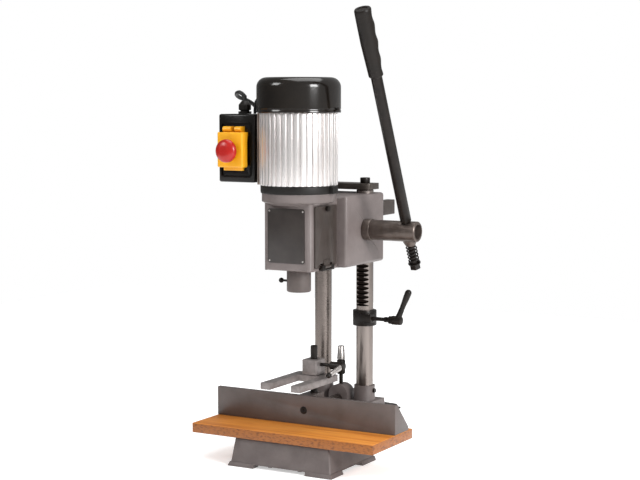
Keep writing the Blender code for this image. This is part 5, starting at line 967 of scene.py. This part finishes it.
grip_low, grip_high, grip_steps, grip_sides = 0.2873, 0.4040, 72, 48
finger_count, finger_deep = 4, 0.0026
grip_bm = bmesh.new()
grip_rings = []
grip_turn = Vector((0, 0, 1)).rotation_difference(lever_way).to_matrix()
for k in range(grip_steps + 1):
    share = k / grip_steps
    height = grip_low + (grip_high - grip_low) * share
    radius = 0.0121 + 0.0023 * min(1, share * 2) - 0.0004 * share**6
    lip = min(1, (grip_high - height) / 0.003, (height - grip_low) / 0.002)
    radius -= 0.0012 * (1 - max(0, lip)) ** 2
    wave = (1 - math.cos(math.tau * finger_count * share)) / 2 if share < 0.98 else 0
    row = []
    for j in range(grip_sides):
        t = math.tau * j / grip_sides
        r = radius - finger_deep * max(0, math.sin(t)) ** 0.7 * wave
        point = Vector((r * math.cos(t), r * math.sin(t), height))
        row.append(grip_bm.verts.new(hub_centre + grip_turn @ point))
    grip_rings.append(row)
for a, b in zip(grip_rings, grip_rings[1:]):
    bridge(grip_bm, a, b)
grip_bm.faces.new(list(reversed(grip_rings[0])))
# The grip's end is dished.
end_centre = hub_centre + lever_way * grip_high
dish_rim = [grip_bm.verts.new(v.co + (end_centre - v.co) * 0.35) for v in grip_rings[-1]]
dish = [grip_bm.verts.new(v.co - lever_way * 0.0012) for v in dish_rim]
bridge(grip_bm, grip_rings[-1], dish_rim)
bridge(grip_bm, dish_rim, dish)
grip_bm.faces.new(dish)
grip = into_object("lever_hand_grip", outward(grip_bm))
finish_piece(grip, black_moulding, "lever_grip", sharp=40)
refine("lever_nut", black_steel, 0.0006, 2)

# The spring lies between the nut's washer and the seat under the hub.
turns, turn_steps, coil_mid_r, half_wire = 5, 28, 0.0085, 0.0011
across = Vector((1, 0, 0))
beside = lever_way.cross(across)
washer_top = rod_foot + clear + 0.0090 + 0.0018
seat_foot = -0.0177 - clear - 0.008
spring_low = washer_top + clear + half_wire
spring_high = seat_foot - clear - half_wire
spring_points = []
for k in range(turns * turn_steps + 1):
    t = math.tau * k / turn_steps
    height = spring_low + (spring_high - spring_low) * k / (turns * turn_steps)
    out = across * coil_mid_r * math.cos(t) + beside * coil_mid_r * math.sin(t)
    spring_points.append(hub_centre + lever_way * height + out)
return_spring = into_object("lever_return_spring", tube_bm(spring_points, 0.0013, 8))
surface(return_spring, black_steel, 60)
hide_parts("lever_spring")
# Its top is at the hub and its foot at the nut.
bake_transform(return_spring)

# Switch.
# A black box on the motor's side with a raised rim, a yellow bezel and flap; the red
# knob on the flap stops the machine, and the green button under it starts it.
box_low, _, box_mid = spans("switch_box")
box_wider = 0.0130


def wider_box(bm):
    """The box reaches past the bezel at its left."""
    for v in bm.verts:
        if v.co.x < box_mid.x:
            v.co.x -= box_wider


def rounded_loop(x0, x1, z0, z1, radius):
    """Points round a rectangle in X and Z with round corners."""
    out = []
    for i, (x, z) in enumerate(((x1, z1), (x0, z1), (x0, z0), (x1, z0))):
        mid_x = x + (radius if x == x0 else -radius)
        mid_z = z + (radius if z == z0 else -radius)
        out += arc(mid_x, mid_z, radius, 90 * i, 90 * i + 90, 6)
    return out


# Polished black plastic: near black, with sharp reflections.
box_gloss = coated(
    "polished_black_plastic", "#0d0a08", 0.2, shades=("#0b0806", "#120e0b", 0.03),
    grains=(0.0016, 0.00003), gloss=(0.16, 0.26), specular=0.28,
)
refine("switch_box", box_gloss, 0.0012, 3, reshape=wider_box)
rim_left, rim_right, rim_foot, rim_top, rim_round = -0.1340, -0.0730, 0.4870, 0.5805, 0.0060
rim_bm = bmesh.new()
rim_rings = []
for inset, forward in ((0, 0), (0.0004, 0.0022), (0.0026, 0.0022), (0.0030, 0)):
    loop = rounded_loop(
        rim_left + inset, rim_right - inset, rim_foot + inset, rim_top - inset, rim_round - inset
    )
    rim_rings.append([rim_bm.verts.new((x, box_low.y - forward, z)) for x, z in loop])
for a, b in zip(rim_rings, rim_rings[1:] + rim_rings[:1]):
    bridge(rim_bm, a, b)
rim = into_object("switch_box_rim", outward(rim_bm))
finish_piece(rim, box_gloss, body="head", slot=slot_of["switch_box"])

bezel_top, bezel_left, bezel_right, lip_left, lip_right = 0.5640, -0.1200, -0.0790, -0.1255, -0.0875
hood_deeper = 0.0060


def clear_above(bm, limit):
    """Everything above the limit is cut away and the cut closed."""
    geom = bm.verts[:] + bm.edges[:] + bm.faces[:]
    cut = bmesh.ops.bisect_plane(bm, geom=geom, plane_co=(0, 0, limit), plane_no=(0, 0, 1), clear_outer=True)
    rim = [e for e in cut["geom_cut"] if isinstance(e, bmesh.types.BMEdge)]
    bmesh.ops.holes_fill(bm, edges=rim)


def low_bezel(bm):
    """The bezel ends under the flap's top, and only a short lip shows below the flap."""
    clear_above(bm, bezel_top)
    for v in bm.verts:
        if v.co.z < 0.5025:
            v.co.z = 0.4990
            v.co.x = max(lip_left, min(lip_right, v.co.x))
        elif v.co.x > bezel_right:
            v.co.x = bezel_right


def deeper_hood(bm):
    """The flap stands out as a deep hood over the whole bezel."""
    clear_above(bm, bezel_top - 0.0002)
    for v in bm.verts:
        if v.co.y < -0.1255:
            v.co.y -= hood_deeper
        if v.co.x < bezel_left:
            v.co.x -= 0.0020
        if v.co.x > -0.0830:
            v.co.x += 0.0010


# Yellow plastic, moulded smooth with a soft gloss.
safety_yellow = coated(
    "moulded_yellow_plastic", "#eda816", 0.34, shades=("#e9a312", "#f1ae1c", 0.02),
    grains=(0.001, 0.00003), gloss=(0.28, 0.4),
)
refine("switch_bezel", safety_yellow, 0.0006, 2, reshape=low_bezel)
refine("switch_flap", safety_yellow, 0.0008, 3, reshape=deeper_hood)

# Two lugs on the bezel carry the flap's hinge pin.
pin_y, pin_z, lug_r, lug_back, lug_foot = -0.1210, 0.5688, 0.0046, -0.1125, 0.0060
outline = [(lug_back, pin_z + lug_r), (lug_back, pin_z - lug_foot), (pin_y, pin_z - lug_foot)]
outline += arc(pin_y, pin_z, lug_r, 270, 90, 12)
lugs_bm = bmesh.new()
for ends in ((-0.1224, -0.1068), (-0.0988, -0.0859)):
    prism(lugs_bm, outline, ends, 0)
lugs = into_object("switch_hinge_lugs", outward(lugs_bm))
finish_piece(lugs, safety_yellow, body="head", slot=slot_of["switch_bezel"])

# The knob is a mushroom on a stem through the flap. Red plastic, moulded smooth.
stop_red = coated(
    "moulded_red_plastic", "#a81610", 0.34, shades=("#a3140f", "#b01b15", 0.02),
    grains=(0.001, 0.00002), gloss=(0.22, 0.34),
)
low, high, mid = spans("stop_button")
knob_r, knob_deep, front, neck_r, stem_r = 0.0195, 0.0120, -low.y, 0.0070, 0.0040
profile = [(0, front)]
for x, y in arc(0, 0, 1, 82.5, 0, 11):
    profile.append((knob_r * (0.25 + 0.75 * x), front - 0.009 * (1 - y)))
profile += [
    (knob_r, front - knob_deep + 0.0008), (knob_r - 0.0008, front - knob_deep),
    (neck_r, front - knob_deep), (neck_r, 0.1326 + hood_deeper), (stem_r, 0.1326 + hood_deeper),
    (stem_r, 0.1267 + hood_deeper), (neck_r, 0.1267 + hood_deeper), (neck_r, 0.1247 + hood_deeper),
    (0, 0.1247 + hood_deeper),
]
knob = lathe("stop_knob", profile, (mid.x, 0, mid.z), (0, -1, 0), 64)
finish_piece(knob, stop_red, "stop_button", sharp=40)

# Cable gland on the box's top.
# A flanged foot and a domed nut with flats, in black plastic, grip the lead.
low, high, mid = spans("cable_gland")
profile = [
    (0, high.z), (0.0046, high.z), (0.0062, high.z - 0.0012), (0.0084, high.z - 0.0040),
    (0.0100, high.z - 0.0060), (0.0106, high.z - 0.0070), (0.0106, high.z - 0.0150),
    (0.0092, high.z - 0.0160), (0.0078, high.z - 0.0162), (0.0078, low.z + 0.0042),
    (0.0112, low.z + 0.0040), (0.0112, low.z), (0, low.z),
]
gland = lathe("cable_gland_nuts", profile, (mid.x, mid.y, 0), steps=10)
finish_piece(gland, black_moulding, "cable_gland", sharp=20)
# The start button is green plastic, moulded smooth.
start_green = coated(
    "moulded_green_plastic", "#1f7a3c", 0.3, shades=("#1c7338", "#238344", 0.01),
    grains=(0.001, 0.00002),
)
refine("start_button", start_green, 0.0006, 2)
